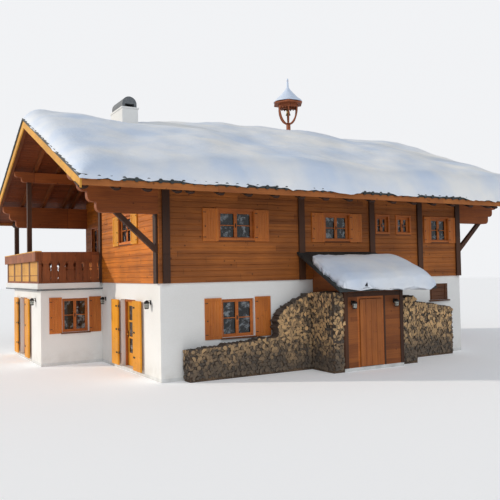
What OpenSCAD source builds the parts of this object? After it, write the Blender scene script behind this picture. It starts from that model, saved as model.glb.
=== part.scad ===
// Alpine chalet: rendered masonry storey, boarded timber storey, log-corbelled
// saddle roof under snow, balcony over a bay, lean-to porch and a bell turret.
// Inside the modules x runs along the front, y into the house and z up, measured
// from the front left corner of the main house. The model itself is centred.

/* [House body] */
// Length of the main house along the front
house_l = 11400; // [10400:100:12400]
// Width of the main house from front to back
house_w = 9800; // [9200:100:10400]
// Thickness of the floor slab on the ground
slab_t = 100; // [80:10:140]
// Top of the masonry storey above the ground
masonry_top = 2450; // [2350:10:2550]
// Thickness of the masonry walls
masonry_t = 300; // [260:10:340]
// Thickness of the upper floor
floor_t = 200; // [160:10:240]
// Thickness of the structural timber walls
timber_t = 140; // [110:10:170]
// Thickness of the boarding on the timber walls
board_t = 60; // [50:5:80]
// How far the boarding stands proud of the masonry
board_out = 40; // [20:5:45]
// Height of one board course
course_h = 160; // [140:5:200]
// Depth of the vee groove between two courses
groove_d = 12; // [8:1:16]

/* [Bay and balcony] */
// Projection of the bay beyond the left gable
bay_out = 2000; // [1800:50:2200]
// Distance from the ridge line back to the bay's front
bay_behind = 300; // [260:10:400]
// Setback of the wall behind the balcony
loggia_in = 850; // [700:50:1000]
// Thickness of the balcony slab
balcony_t = 220; // [180:10:260]
// Overhang of the balcony slab beyond the bay
balcony_out = 120; // [80:10:160]
// Height of the balcony rail above the slab
rail_h = 1020; // [950:10:1100]
// Thickness of the sawn balcony boards
baluster_t = 28; // [22:1:36]
// Centre distance of the sawn balcony boards
baluster_pitch = 265; // [240:5:290]
// Side of the balcony post
balcony_post = 150; // [130:5:170]
// How far the balcony runs on past the rear wall
balcony_back = 1100; // [900:50:1200]
// Height of the flower boxes under the rail
box_h = 300; // [260:10:340]
// Depth of the flower boxes
box_d = 190; // [160:10:220]

/* [Main roof] */
// Height of the ridge above the ground
ridge_z = 7910; // [7700:10:8100]
// Height of the tiles at the eave edge
eave_top_z = 5210; // [5110:10:5310]
// Eave overhang in front and behind
eave_out = 1600; // [1450:10:1700]
// Verge overhang on the left gable
verge_left = 2560; // [2400:10:2700]
// Verge overhang on the right gable
verge_right = 2400; // [2250:10:2550]
// Thickness of the tile layer, measured upright
tile_v = 70; // [50:5:90]
// Thickness of the roof boards, measured upright
deck_v = 60; // [50:5:80]
// Depth of the rafters, measured upright
rafter_v = 150; // [130:5:170]
// Width of a rafter
rafter_w = 110; // [90:5:130]
// Centre distance of the rafters
rafter_pitch = 850; // [750:10:950]
// Depth of the barge boards, measured upright
barge_v = 230; // [200:5:280]
// Depth of the fascias along the eaves
fascia_v = 165; // [130:5:200]
// Thickness of barge boards and fascias
barge_t = 40; // [30:5:50]
// Depth of the snow on the roof at the left verge
snow_t = 380; // [300:10:440]
// Extra depth that the wind has laid on the right of the chimney
snow_drift = 250; // [150:10:300]

/* [Log corbels] */
// Height of one log in the purlins
log_h = 265; // [240:5:285]
// Width of a log purlin
log_w = 200; // [160:10:220]
// Step from one log end to the next
corbel_step = 230; // [180:10:260]
// Radius of the rounded log ends, as a share of the log's height
corbel_share = 0.55; // [0.4:0.05:0.7]
// Logs in the corbels of the front wall plate
plate_logs = 4; // [3:1:4]
// Logs in the wall plate behind
back_logs = 3; // [2:1:3]
// Height of one log in the ridge and middle purlins
purlin_h = 175; // [150:5:190]
// Logs in each ridge and middle purlin
purlin_logs = 2; // [1:1:2]

/* [Porch] */
// Left side of the porch
porch_x = 5000; // [4900:50:5100]
// Length of the porch along the front
porch_l = 2250; // [2200:10:2250]
// Depth of the porch in front of the wall
porch_d = 1500; // [1400:50:1600]
// Thickness of the porch walls
porch_t = 130; // [110:10:150]
// Depth of the porch roof in front of the wall
porch_roof_d = 2075; // [2000:25:2150]
// Height of the porch roof at the house wall
porch_top_z = 3520; // [3450:10:3560]
// Height of the porch roof at its eave
porch_eave_z = 2390; // [2350:10:2430]
// Thickness of the porch roof
porch_roof_t = 80; // [70:5:100]
// Depth of the snow on the porch roof
porch_snow_t = 380; // [280:10:420]
// Width of the porch door opening
porch_door_w = 1000; // [940:10:1040]
// Distance of the porch door from the porch's left side
porch_door_in = 490; // [460:10:520]
// Top of the porch door opening
porch_door_top = 2160; // [2110:10:2170]

/* [Doors and shutters] */
// Thickness of the door leaves
leaf_t = 55; // [45:5:65]
// Clearance around a door leaf
leaf_gap = 10; // [9:1:12]
// Width of the glazed door openings
french_w = 1300; // [1200:10:1400]
// Top of the glazed door openings
french_top = 2160; // [2100:10:2200]
// Setback of the glazed doors' frames in the wall
portal_in = 130; // [100:5:150]
// Width of a door frame member
frame_w = 80; // [70:5:90]
// Depth of door and window frames
frame_d = 90; // [70:5:100]
// Thickness of the shutters
shutter_t = 38; // [30:2:44]
// Clearance between a swinging shutter and the wall
shutter_off = 60; // [50:5:80]
// Radius of the hinge pins
pin_r = 8; // [6:1:10]
// Running clearance of the hinge pins
pin_gap = 0.3; // [0.2:0.1:0.5]

/* [Chimney and bell turret] */
// Width of the chimney along the ridge
chimney_l = 550; // [500:10:640]
// Depth of the chimney across the ridge
chimney_w = 1200; // [1100:10:1300]
// Height of the chimney above the ridge
chimney_h = 600; // [550:10:700]
// Distance of the bell turret from the left gable
turret_x = 7500; // [7300:50:7700]
// Height of the turret's ring above the ridge
turret_h = 1420; // [1320:10:1520]
// Radius of the turret's six-sided roof at its corners
turret_roof_r = 620; // [580:10:660]
// Height of the turret's roof
turret_roof_h = 640; // [560:10:720]
// Radius of the turret's six-sided ring at its corners
turret_r = 425; // [400:5:450]
// Height of the turret's ring
ring_h = 170; // [150:5:190]
// Height of the curved ribs under the ring
rib_h = 640; // [560:10:700]
// Side of the turret's post
turret_post = 120; // [100:5:130]

/* [Hidden] */
$fn = 32;
// Gap that keeps touching pieces of different bodies and curved seats apart
seat = 0.3;
// Gap between sloping layers that lie on each other
skin = 0.05;
// Overlap that fuses two solids of one piece
bite = 2;
// Overshoot of every cut past the face it leaves
cut = 20;

// Main heights
timber_base = masonry_top + floor_t;
ridge_y = house_w / 2;
bay_y = ridge_y + bay_behind;
slope = (ridge_z - eave_top_z) / (ridge_y + eave_out);
roof_left = -verge_left;
roof_right = house_l + verge_right;
rafter_under = tile_v + deck_v + rafter_v;
function roof_z(y) = ridge_z - slope * abs(y - ridge_y);

// Faces of the timber walls
timber_face = board_t - board_out;

// Balcony slab: its lower step and its top
balcony_lip = 50;
balcony_top = masonry_top + balcony_t;
balcony_end = loggia_in - board_t - seat;

// Openings as [start, width, sill, height], along x or y
front_low = [[1850, 1060, 1080, 1080], [house_l - 1470, 860, 1830, 560]];
front_door = [porch_x + 400, 900, slab_t, 2000];
front_high = [[1770, 1150, 3830, 850], [5470, 960, 3830, 830], [7580, 500, 4080, 580],
    [8470, 560, 4080, 580], [house_l - 1380, 820, 3830, 830]];
back_low = [[1850, 1060, 1080, 1080], [5170, 1060, 1080, 1080], [house_l - 2910, 1060, 1080, 1080]];
back_high = [[1770, 1150, 3830, 850], [5125, 1150, 3830, 850], [house_l - 2920, 1150, 3830, 850]];
gable_door_y = 1930;
gable_high = [[2080, 1100, 3830, 850]];
bay_front_low = [[-1320, 860, 1060, 1100]];
bay_door_y = bay_y + 2150;
loggia_high = [[bay_y + 800, 1000, 3830, 850], [bay_y + 2700, 1000, timber_base + 60, 2020]];
right_low = [[2100, 1060, 1080, 1080], [house_w - 3160, 1060, 1080, 1080]];
right_high = [[2080, 1100, 3830, 850], [house_w - 3180, 1100, 3830, 850]];

module at_house() {
    translate([-house_l / 2, -house_w / 2, 0]) children();
}

// A plain block between two corners
module block(from, to) {
    translate(from) cube(to - from);
}

// Cuts for a wall that runs along x
module cuts_x(list, y0, y1) {
    for (o = list) block([o[0], y0 - cut, o[2]], [o[0] + o[1], y1 + cut, o[2] + o[3]]);
}

// Cuts for a wall that runs along y
module cuts_y(list, x0, x1) {
    for (o = list) block([x0 - cut, o[0], o[2]], [x1 + cut, o[0] + o[1], o[2] + o[3]]);
}

module floor_slab() {
    color("gainsboro") at_house() union() {
        block([0, 0, 0], [house_l, house_w, slab_t]);
        block([-bay_out, bay_y, 0], [bite, house_w, slab_t]);
        block([porch_x, -porch_d, 0], [porch_x + porch_l, bite, slab_t]);
    }
}

module front_wall() {
    color("white") at_house() difference() {
        block([0, 0, slab_t], [house_l, masonry_t, masonry_top]);
        cuts_x(front_low, 0, masonry_t);
        block([front_door[0], -cut, 0], [front_door[0] + front_door[1], masonry_t + cut, masonry_top + cut]);
    }
}

module gable_wall() {
    color("white") at_house() {
        block([0, masonry_t, slab_t], [masonry_t, gable_door_y, masonry_top]);
        block([0, gable_door_y + french_w, slab_t], [masonry_t, bay_y + masonry_t, masonry_top]);
    }
}

module bay_wall() {
    color("white") at_house() {
        difference() {
            union() {
                block([-bay_out, bay_y, slab_t], [0, bay_y + masonry_t, masonry_top]);
                block([-bay_out, bay_y, slab_t], [-bay_out + masonry_t, bay_door_y, masonry_top]);
            }
            cuts_x(bay_front_low, bay_y, bay_y + masonry_t);
        }
        block([-bay_out, bay_door_y + french_w, slab_t],
            [-bay_out + masonry_t, house_w - masonry_t, masonry_top]);
    }
}

module back_wall() {
    color("white") at_house() difference() {
        block([-bay_out, house_w - masonry_t, slab_t], [house_l, house_w, masonry_top]);
        cuts_x(back_low, house_w - masonry_t, house_w);
    }
}

module right_wall() {
    color("white") at_house() difference() {
        block([house_l - masonry_t, masonry_t, slab_t], [house_l, house_w - masonry_t, masonry_top]);
        cuts_y(right_low, house_l - masonry_t, house_l);
    }
}

module door_lintels() {
    color("white") at_house() {
        block([front_door[0], 0, front_door[2] + front_door[3]],
            [front_door[0] + front_door[1], masonry_t, masonry_top]);
        block([0, gable_door_y, french_top], [masonry_t, gable_door_y + french_w, masonry_top]);
        block([-bay_out, bay_door_y, french_top],
            [-bay_out + masonry_t, bay_door_y + french_w, masonry_top]);
    }
}

module upper_floor() {
    color("burlywood") at_house() block([0, 0, masonry_top], [house_l, house_w, timber_base]);
}

module balcony_slab() {
    color("whitesmoke") at_house() union() {
        block([-bay_out, bay_y, masonry_top], [0, house_w, balcony_top]);
        block([-bay_out - balcony_out, bay_y - balcony_out, masonry_top + balcony_lip],
            [-post_face - seat, bay_y, balcony_top]);
        block([-bay_out - balcony_out, bay_y, masonry_top + balcony_lip],
            [-bay_out, house_w, balcony_top]);
        block([-bay_out - balcony_out, house_w, masonry_top + balcony_lip],
            [balcony_end, house_w + balcony_back, balcony_top]);
    }
}

module upper_front_wall() {
    color("peru") at_house() difference() {
        block([timber_face, timber_face, timber_base],
            [house_l - timber_face, timber_face + timber_t, roof_z(0) - rafter_under - seat]);
        cuts_x(front_high, 0, timber_t);
    }
}

module upper_back_wall() {
    color("peru") at_house() difference() {
        block([loggia_in + timber_t, house_w - timber_face - timber_t, timber_base],
            [house_l - timber_face, house_w - timber_face, roof_z(0) - rafter_under - seat]);
        cuts_x(back_high, house_w - timber_t, house_w);
    }
}

// Upright outline of a gable wall between two depths, ending under the roof boards
module gable_outline(y0, y1) {
    under = tile_v + deck_v + seat;
    peak = (y0 < ridge_y && y1 > ridge_y) ? [[ridge_y, ridge_z - under]] : [];
    polygon(concat([[y0, timber_base], [y1, timber_base], [y1, roof_z(y1) - under]],
        peak, [[y0, roof_z(y0) - under]]));
}

module gable_plate(x0, t, y0, y1) {
    translate([x0, 0, 0]) rotate([90, 0, 90]) linear_extrude(t) gable_outline(y0, y1);
}

// Room that the log purlins take out of the gable walls
module purlin_slots() {
    for (y = purlin_rows())
        block([roof_left, y - log_w / 2, purlin_top(y) - purlin_logs * purlin_h],
            [roof_right, y + log_w / 2, purlin_top(y)]);
}

module upper_gable_wall() {
    color("peru") at_house() difference() {
        gable_plate(timber_face, timber_t, timber_face + timber_t, bay_y - board_t);
        cuts_y(gable_high, 0, timber_t);
        purlin_slots();
    }
}

module loggia_wall() {
    color("peru") at_house() difference() {
        union() {
            gable_plate(loggia_in, timber_t, bay_y, house_w - timber_face);
            translate([timber_face + timber_t, 0, 0])
                gable_plate(0, loggia_in - timber_face, bay_y - board_t - timber_t, bay_y - board_t);
            gable_plate(loggia_in, timber_t, bay_y - board_t - bite, bay_y + bite);
        }
        cuts_y(loggia_high, loggia_in, loggia_in + timber_t);
        purlin_slots();
        rafter_slots();
    }
}

module upper_right_wall() {
    color("peru") at_house() difference() {
        gable_plate(house_l - timber_face - timber_t, timber_t,
            timber_face + timber_t, house_w - timber_face - timber_t);
        cuts_y(right_high, house_l - timber_t, house_l);
        purlin_slots();
    }
}

// Section of the boarding: courses with a vee groove at each joint
module course_outline(top) {
    courses = ceil((top - timber_base) / course_h);
    grooves = [for (i = [1:courses - 1]) each let (z = timber_base + i * course_h)
        [[0, z - groove_d], [groove_d, z], [0, z + groove_d]]];
    keep = [for (p = grooves) if (p[1] < top - 2 * groove_d) p];
    polygon(concat([[0, timber_base]], keep, [[0, top], [board_t, top], [board_t, timber_base]]));
}

// Boarding along x whose grooved face looks toward -y from y = 0
module boarding_x(x0, x1, top) {
    translate([x0, 0, 0]) rotate([90, 0, 90]) linear_extrude(x1 - x0) course_outline(top);
}

board_top = roof_z(-board_out) - rafter_under - seat;
module front_boarding() {
    difference() {
        translate([0, -board_out, 0]) boarding_x(-board_out, house_l + board_out, board_top);
        cuts_x(front_high, -board_out, timber_face);
    }
}

module back_boarding() {
    translate([0, house_w, 0]) mirror([0, 1, 0]) difference() {
        translate([0, -board_out, 0])
            boarding_x(loggia_in - board_t, house_l + board_out, board_top);
        cuts_x(back_high, -board_out, timber_face);
    }
}

// Boarding of the short wall that leads back from the gable to the balcony door
module return_boarding() {
    translate([0, bay_y, 0]) mirror([0, 1, 0]) intersection() {
        boarding_x(timber_face + seat, loggia_in - bite, ridge_z);
        block([0, -cut, 0], [loggia_in, board_t + cut, roof_z(bay_y) - tile_v - deck_v - seat]);
    }
}

// Boarding of a gable: courses cut to the gable's outline
module gable_boarding(y0, y1) {
    intersection() {
        rotate([0, 0, -90]) mirror([1, 0, 0]) boarding_x(y0, y1, ridge_z);
        gable_plate(-cut, board_t + 2 * cut, y0, y1);
    }
}

module log_boarding() {
    color("chocolate") at_house() {
        front_boarding();
        back_boarding();
        difference() {
            translate([-board_out, 0, 0]) gable_boarding(timber_face + seat, bay_y - seat);
            cuts_y(gable_high, -board_out, timber_face);
            purlin_slots();
        }
        difference() {
            union() {
                translate([loggia_in - board_t, 0, 0])
                    gable_boarding(bay_y - board_t, house_w - timber_face - seat);
                return_boarding();
            }
            cuts_y(loggia_high, loggia_in - board_t, loggia_in);
            purlin_slots();
            rafter_slots();
        }
        difference() {
            translate([house_l + board_out, 0, 0]) mirror([1, 0, 0])
                gable_boarding(timber_face + seat, house_w - timber_face - seat);
            cuts_y(right_high, house_l - timber_face, house_l + board_out);
            purlin_slots();
        }
    }
}

// Dark posts on the face of the boarding
post_w = 210;
post_out = 60;
post_rows = [60, porch_x - 520, porch_x + porch_l, house_l - 2040, house_l - post_w];
post_face = board_out + post_out;
// Thickness and foot height of the braces under the corbelled logs
brace_t = 120;
brace_w = 190;
brace_foot = 3480;
brace_reach = -1240;
module facade_posts() {
    top = roof_z(-post_face) - rafter_under - seat;
    color("saddlebrown") at_house() {
        for (x = post_rows) block([x, -post_face, timber_base], [x + post_w, -board_out, top]);
        corner_brace();
        translate([house_l, 0, 0]) mirror([1, 0, 0]) corner_brace();
        block([-post_face, ridge_y + log_w / 2 + seat, timber_base],
            [-board_out, bay_y - seat, roof_z(bay_y) - rafter_under - seat]);
    }
}

// Gable post at a front corner with the brace that carries the corbelled logs
module corner_brace() {
    top = plate_top - plate_logs * log_h - seat;
    foot_x = -post_face - seat;
    block([-post_face, timber_face, timber_base], [-board_out, timber_face + post_w, top]);
    translate([0, timber_face + brace_t, 0]) rotate([90, 0, 0]) linear_extrude(brace_t)
        polygon([[foot_x, brace_foot], [foot_x, brace_foot + brace_w], [brace_reach + brace_w, top],
            [brace_reach, top]]);
}

// Corbelled end of a stack of logs, seen from the side: each log reaches a step
// further out than the one below, and its lower corner is rounded
module log_end(reach, logs, h) {
    r = h * corbel_share;
    for (i = [0:logs - 1]) translate([0, i * h]) {
        x = reach - (logs - 1 - i) * corbel_step;
        square([x - r, h + (i < logs - 1 ? bite : 0)]);
        translate([0, r]) square([x, h - r]);
        intersection() {
            translate([x - r, r]) circle(r);
            square([x, h]);
        }
    }
}

// A stack of logs along x, corbelled at both ends, with its middle line on y
module log_stack(y, top, logs, h) {
    mid = house_l / 2;
    translate([mid, y + log_w / 2, top - logs * h]) rotate([90, 0, 0]) linear_extrude(log_w) {
        log_end(mid + verge_right - log_in, logs, h);
        mirror([1, 0]) log_end(mid + verge_left - log_in, logs, h);
    }
}

// Distances of the purlin lines from the front, and the tops of the logs there
middle_rows = [ridge_y / 2, house_w - ridge_y / 2];
function purlin_rows() = [middle_rows[0], ridge_y, middle_rows[1]];
function purlin_top(y) = roof_z(y) - slope * log_w / 2 - rafter_under - seat;
// Setback of the log ends from the verges
log_in = 150;
plate_y = timber_face + log_w / 2 - board_t;
plate_top = roof_z(plate_y - log_w / 2) - rafter_under - seat;

module plate_logs() {
    color("sienna") at_house() {
        difference() {
            log_stack(plate_y, plate_top, plate_logs, log_h);
            block([-board_out, -log_w, 0], [house_l + board_out, 2 * log_w, ridge_z]);
        }
        difference() {
            log_stack(house_w - plate_y, plate_top, back_logs, log_h);
            block([loggia_in - board_t, house_w - 2 * log_w, 0],
                [house_l + board_out, house_w + log_w, ridge_z]);
        }
    }
}

module purlins() {
    color("sienna") at_house() for (y = purlin_rows()) log_stack(y, purlin_top(y), purlin_logs, purlin_h);
}

// Section of a roof layer between two upright depths below the tile top. The two
// slopes are separate and meet at the ridge.
module roof_section(from, to, out) {
    e = eave_out + out;
    y = ridge_y - seat / 2;
    for (m = [0, 1]) translate([m * house_w, 0]) mirror([m, 0])
        polygon([[-e, roof_z(-e) - from], [y, roof_z(y) - from],
            [y, roof_z(y) - to], [-e, roof_z(-e) - to]]);
}

module roof_layer(x0, x1, from, to, out) {
    translate([x0, 0, 0]) rotate([90, 0, 90]) linear_extrude(x1 - x0) roof_section(from, to, out);
}

// Left faces of the rafters: evenly over each verge and over the house
function spaced(a, b) = let (n = max(1, ceil((b - a - rafter_w) / rafter_pitch)))
    [for (i = [0:n]) a + i * (b - a - rafter_w) / n];
// Gap between a wall and the rafters beside it
rafter_gap = 20;
inner_face = timber_face + timber_t + rafter_gap;
function rafter_rows() = concat(spaced(roof_left + barge_t, -board_out - rafter_gap),
    spaced(inner_face, house_l - inner_face),
    spaced(house_l + board_out + rafter_gap, roof_right - barge_t));

module rafters() {
    color("peru") at_house() for (x = rafter_rows())
        roof_layer(x, x + rafter_w, tile_v + deck_v, rafter_under, -barge_t);
}

// Room for the rafters where they cross the wall behind the balcony
module rafter_slots() {
    for (x = rafter_rows()) if (x > 0 && x < house_l / 2)
        roof_layer(x - seat, x + rafter_w + seat, 0, rafter_under + seat, 0);
}

module roof_deck() {
    color("sienna") at_house()
        roof_layer(roof_left + barge_t, roof_right - barge_t, tile_v + skin,
            tile_v + deck_v - skin, -barge_t);
}

tile_out = 20;
module roof_tiles() {
    color("darkslategray") at_house()
        roof_layer(roof_left - tile_out, roof_right + tile_out, 0, tile_v, tile_out);
}

module barge_boards() {
    color("goldenrod") at_house() {
        roof_layer(roof_left, roof_left + barge_t, tile_v + skin, tile_v + barge_v, 0);
        roof_layer(roof_right - barge_t, roof_right, tile_v + skin, tile_v + barge_v, 0);
    }
}

module fascias() {
    z = roof_z(-eave_out) - tile_v - skin;
    color("peru") at_house() for (y = [-eave_out, house_w + eave_out - barge_t])
        block([roof_left + barge_t, y, z - fascia_v], [roof_right - barge_t, y + barge_t, z]);
}

// Snow: a quilt whose rim rounds off toward its edges. Every station is a share of
// the way across, and depth() gives the snow there.
function ease(d, r) = d >= r ? 1 : sqrt(1 - pow(1 - max(d, 0) / r, 2));
function swell(x, y) = 1 + 0.10 * sin(x / 23 + y / 31) + 0.07 * sin(x / 11 - y / 17);
snow_rim = 380;
snow_back = 30;
snow_edge = 6;
snow_ridge = 700;
chimney_x = 490;
// Half the hollow round the chimney, and the gap that the warm shaft keeps open
chimney_melt = 900;
snow_gap = 40;
function snow_base(y) = roof_z(y) + seat;
// How much the snow softens the ridge, and the share that melts off beside the chimney
crown_share = 0.28;
melt_share = 0.5;
melt_stretch = 1.4;
function snow_crown(y) = -crown_share * slope * max(0, snow_ridge - abs(y - ridge_y));
function melt(x, y) = let (across = (y - ridge_y) / melt_stretch)
    1 - melt_share * exp(-(pow(x - chimney_x, 2) + pow(across, 2)) / pow(chimney_melt, 2));
// Share of the drift: none at the left verge, all of it past the middle of the roof
function drifted(x) = 0.5 - 0.5 * cos(180 * min(1, max(0, (x - roof_left) / (house_l / 2 - roof_left))));
function snow_depth(x, y, x0, x1, y0, y1) =
    (snow_t + snow_drift * drifted(x)) * swell(x, y) * melt(x, y)
    * min(ease(x - x0, snow_rim), ease(x1 - x, snow_rim))
    * min(ease(y - y0, snow_rim), ease(y1 - y, snow_rim)) + snow_edge;
snow_steps_x = 30;
snow_steps_y = 11;
// Stations crowd toward both ends, and rows toward the eave
crowding = 0.72;
first_row = 0.35;
function spread(i, n, a, b) = let (u = i / n) a + (b - a) * (u - crowding * sin(360 * u) / (2 * PI));
function snow_stations(a, b) = [for (i = [0:snow_steps_x]) spread(i, snow_steps_x, a, b)];
function half_rows(a, b) = [for (i = [0:snow_steps_y]) let (u = i / snow_steps_y)
    a + (b - a) * u * (first_row + (1 - first_row) * u)];

// A quilt on stations xs and ys. Its far edge leans by a share of the depth.
module quilt(xs, ys, base, tops, lean = 0) {
    nx = len(xs);
    ny = len(ys);
    function at(i, j) = i * ny + j;
    function leant(i, j) = xs[i] + lean * (ys[0] - ys[j]) * i / (nx - 1);
    upper = [for (i = [0:nx - 1]) for (j = [0:ny - 1]) [leant(i, j), ys[j], tops[i][j]]];
    lower = [for (i = [0:nx - 1]) for (j = [0:ny - 1]) [leant(i, j), ys[j], base[j]]];
    n = nx * ny;
    top_faces = [for (i = [0:nx - 2]) for (j = [0:ny - 2]) each
        [[at(i, j), at(i, j + 1), at(i + 1, j + 1)], [at(i, j), at(i + 1, j + 1), at(i + 1, j)]]];
    low_faces = [for (f = top_faces) [f[2] + n, f[1] + n, f[0] + n]];
    rim = concat([for (i = [0:nx - 2]) at(i, 0)], [for (j = [0:ny - 2]) at(nx - 1, j)],
        [for (i = [nx - 1:-1:1]) at(i, ny - 1)], [for (j = [ny - 1:-1:1]) at(0, j)]);
    m = len(rim);
    side_faces = [for (k = [0:m - 1]) each let (a = rim[k], b = rim[(k + 1) % m])
        [[a, b, b + n], [a, b + n, a + n]]];
    polyhedron(concat(upper, lower), concat(top_faces, low_faces, side_faces));
}

module roof_snow() {
    x0 = roof_left;
    x1 = roof_right - snow_back;
    y0 = -eave_out + snow_back;
    y1 = house_w + eave_out - snow_back;
    xs = snow_stations(x0, x1);
    front = half_rows(y0, ridge_y);
    back = [for (j = [snow_steps_y - 1:-1:0]) y1 + y0 - front[j]];
    ys = concat(front, back);
    tops = [for (x = xs) [for (y = ys)
        snow_base(y) + snow_depth(x, y, x0, x1, y0, y1) + snow_crown(y)]];
    color("snow") at_house() difference() {
        quilt(xs, ys, [for (y = ys) snow_base(y)], tops);
        block([chimney_x - snow_gap, ridge_y - chimney_w / 2 - snow_gap, 0],
            [chimney_x + chimney_l + snow_gap, ridge_y + chimney_w / 2 + snow_gap, 2 * ridge_z]);
        translate([turret_x, ridge_y, 0]) cylinder(r = turret_post, h = 2 * ridge_z);
    }
}

// Chimney: a rendered shaft that sits astride the ridge, with a slab on its head
flue_wall = 120;
flue_depth = 500;
head_t = 50;
head_out = 25;
module chimney() {
    top = ridge_z + chimney_h;
    x1 = chimney_x + chimney_l;
    y0 = ridge_y - chimney_w / 2;
    y1 = ridge_y + chimney_w / 2;
    color("whitesmoke") at_house() difference() {
        union() {
            block([chimney_x, y0, ridge_z - chimney_w], [x1, y1, top]);
            block([chimney_x - head_out, y0 - head_out, top - head_t], [x1 + head_out, y1 + head_out, top]);
        }
        block([chimney_x + flue_wall, y0 + flue_wall, top - flue_depth],
            [x1 - flue_wall, y1 - flue_wall, top + cut]);
        under_roof();
    }
}

// Everything below the tiles, to seat a piece astride the ridge
module under_roof() {
    foot = roof_z(0) + skin;
    translate([roof_left, 0, 0]) rotate([90, 0, 90]) linear_extrude(roof_right - roof_left)
        polygon([[0, 0], [0, foot], [ridge_y, ridge_z + skin], [house_w, foot], [house_w, 0]]);
}

// Arched hood over the flue: two cheeks under a half-round top
hood_r = 250;
cheek_t = 90;
cheek_h = 120;
hood_in = 60;
module chimney_cap() {
    top = ridge_z + chimney_h;
    mid = chimney_x + chimney_l / 2;
    y0 = ridge_y - chimney_w / 2 + hood_in;
    y1 = ridge_y + chimney_w / 2 - hood_in;
    color("dimgray") at_house() {
        for (x = [mid - hood_r, mid + hood_r - cheek_t])
            block([x, y0, top], [x + cheek_t, y1, top + cheek_h]);
        translate([mid, y1, top + cheek_h + seat]) rotate([90, 0, 0]) linear_extrude(y1 - y0) intersection() {
            circle(hood_r);
            translate([-hood_r, 0]) square([2 * hood_r, hood_r]);
        }
    }
}

// Bell turret: a post astride the ridge, six curved ribs, a ring and a roof
rib_steps = 9;
rib_t = 50;
ring_t = 60;
beam_t = 60;
bell_h = 190;
bell_r = 100;
bell_pin_r = 12;
arch_r = 46;
// How far the post runs up past the feet of the ribs
post_over = 30;
module rib() {
    out = turret_r - 10;
    turns = [for (i = [0:rib_steps]) 90 * i / rib_steps];
    outer = [for (a = turns) [out * cos(a), -rib_h * sin(a)]];
    inner = [for (a = turns) [(out - rib_t) * cos(90 - a), -(rib_h - rib_t) * sin(90 - a)]];
    translate([0, rib_t / 2, 0]) rotate([90, 0, 0]) linear_extrude(rib_t) polygon(concat(outer, inner));
}

// Six-sided ring whose lower edge is cut in small arches
module turret_ring() {
    flat = turret_r * cos(30);
    difference() {
        cylinder(r = turret_r, h = ring_h, $fn = 6);
        translate([0, 0, -cut]) cylinder(r = turret_r - ring_t, h = ring_h + 2 * cut, $fn = 6);
        for (a = [30:60:330]) for (i = [-1:1]) rotate([0, 0, a])
            translate([flat - ring_t - cut, i * turret_r * 0.28, 0]) rotate([0, 90, 0])
            cylinder(r = arch_r, h = ring_t + 2 * cut, $fn = 16);
    }
}

module bell_turret() {
    z = ridge_z + turret_h;
    reach = turret_r - ring_t / 2;
    color("firebrick") at_house() translate([turret_x, ridge_y, 0]) union() {
        difference() {
            block([-turret_post / 2, -turret_post / 2, ridge_z - turret_post],
                [turret_post / 2, turret_post / 2, z - rib_h + rib_t + post_over]);
            translate([-turret_x, -ridge_y, 0]) under_roof();
        }
        translate([0, 0, z + bite]) for (a = [0:60:300]) rotate([0, 0, a]) rib();
        translate([0, 0, z]) turret_ring();
        difference() {
            block([-reach, -beam_t / 2, z], [reach, beam_t / 2, z + ring_h]);
            translate([0, 0, z + ring_h / 2]) rotate([90, 0, 0])
                cylinder(r = bell_pin_r, h = 2 * beam_t, center = true);
        }
    }
}

// Flared six-sided tent from rings of [height, radius]
module tent(rings, grow = 0) {
    for (i = [0:len(rings) - 2]) let (low = rings[i], high = rings[i + 1]) translate([0, 0, low[0]])
        cylinder(r1 = low[1] + grow, r2 = high[1] + grow, h = high[0] - low[0], $fn = 6);
}

tent_board = 40;
tent_rings = [[0, turret_roof_r], [tent_board, turret_roof_r], [0.28 * turret_roof_h, 0.62 * turret_roof_r],
    [0.6 * turret_roof_h, 0.3 * turret_roof_r], [turret_roof_h, 0.06 * turret_roof_r]];
finial_r = 16;
finial_h = 300;
module turret_roof() {
    color("saddlebrown") at_house() translate([turret_x, ridge_y, ridge_z + turret_h + ring_h]) union() {
        tent(tent_rings);
        translate([0, 0, turret_roof_h - bite]) cylinder(r = finial_r, h = finial_h);
        translate([0, 0, turret_roof_h + finial_h]) sphere(r = 2.2 * finial_r);
    }
}

// Snow on the turret: a thicker tent over the roof, open round the finial
tent_snow = 85;
module turret_snow() {
    rim = [[tent_board + seat, turret_roof_r - 8], [tent_board + tent_snow, turret_roof_r - 30]];
    upper = [for (i = [2:len(tent_rings) - 1]) [tent_rings[i][0] + tent_snow, tent_rings[i][1]]];
    translate([turret_x, ridge_y, ridge_z + turret_h + ring_h]) difference() {
        tent(concat(rim, upper));
        tent(tent_rings, seat);
        cylinder(r = finial_r + seat, h = 2 * turret_roof_h);
    }
}

// The bell hangs from a pin through the beam and swings along the ridge. Its yoke hangs
// low enough to clear the beam at both ends of the swing.
bell_swing = 25;
bell_gap = 10;
yoke_t = 20;
yoke_strap = [30, 20];
bell_wall = 14;
module bell() {
    strap_y = (beam_t + bell_gap + yoke_strap[1]) / 2;
    yoke_r = strap_y + yoke_strap[1] / 2;
    crown = -(ring_h / 2 + bell_gap + yoke_r * sin(bell_swing)) / cos(bell_swing);
    color("dimgray") at_house() translate([turret_x, ridge_y, ridge_z + turret_h + ring_h / 2]) union() {
        rotate([90, 0, 0]) cylinder(r = bell_pin_r - seat, h = 2 * yoke_r, center = true);
        for (side = [-1, 1]) translate([0, side * strap_y, 0])
            block([-yoke_strap[0] / 2, -yoke_strap[1] / 2, crown - bite],
                [yoke_strap[0] / 2, yoke_strap[1] / 2, yoke_strap[0] / 2]);
        translate([0, 0, crown - yoke_t]) cylinder(r = yoke_r, h = yoke_t);
        translate([0, 0, crown - yoke_t + bite]) mirror([0, 0, 1]) rotate_extrude() bell_outline();
    }
}

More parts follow.
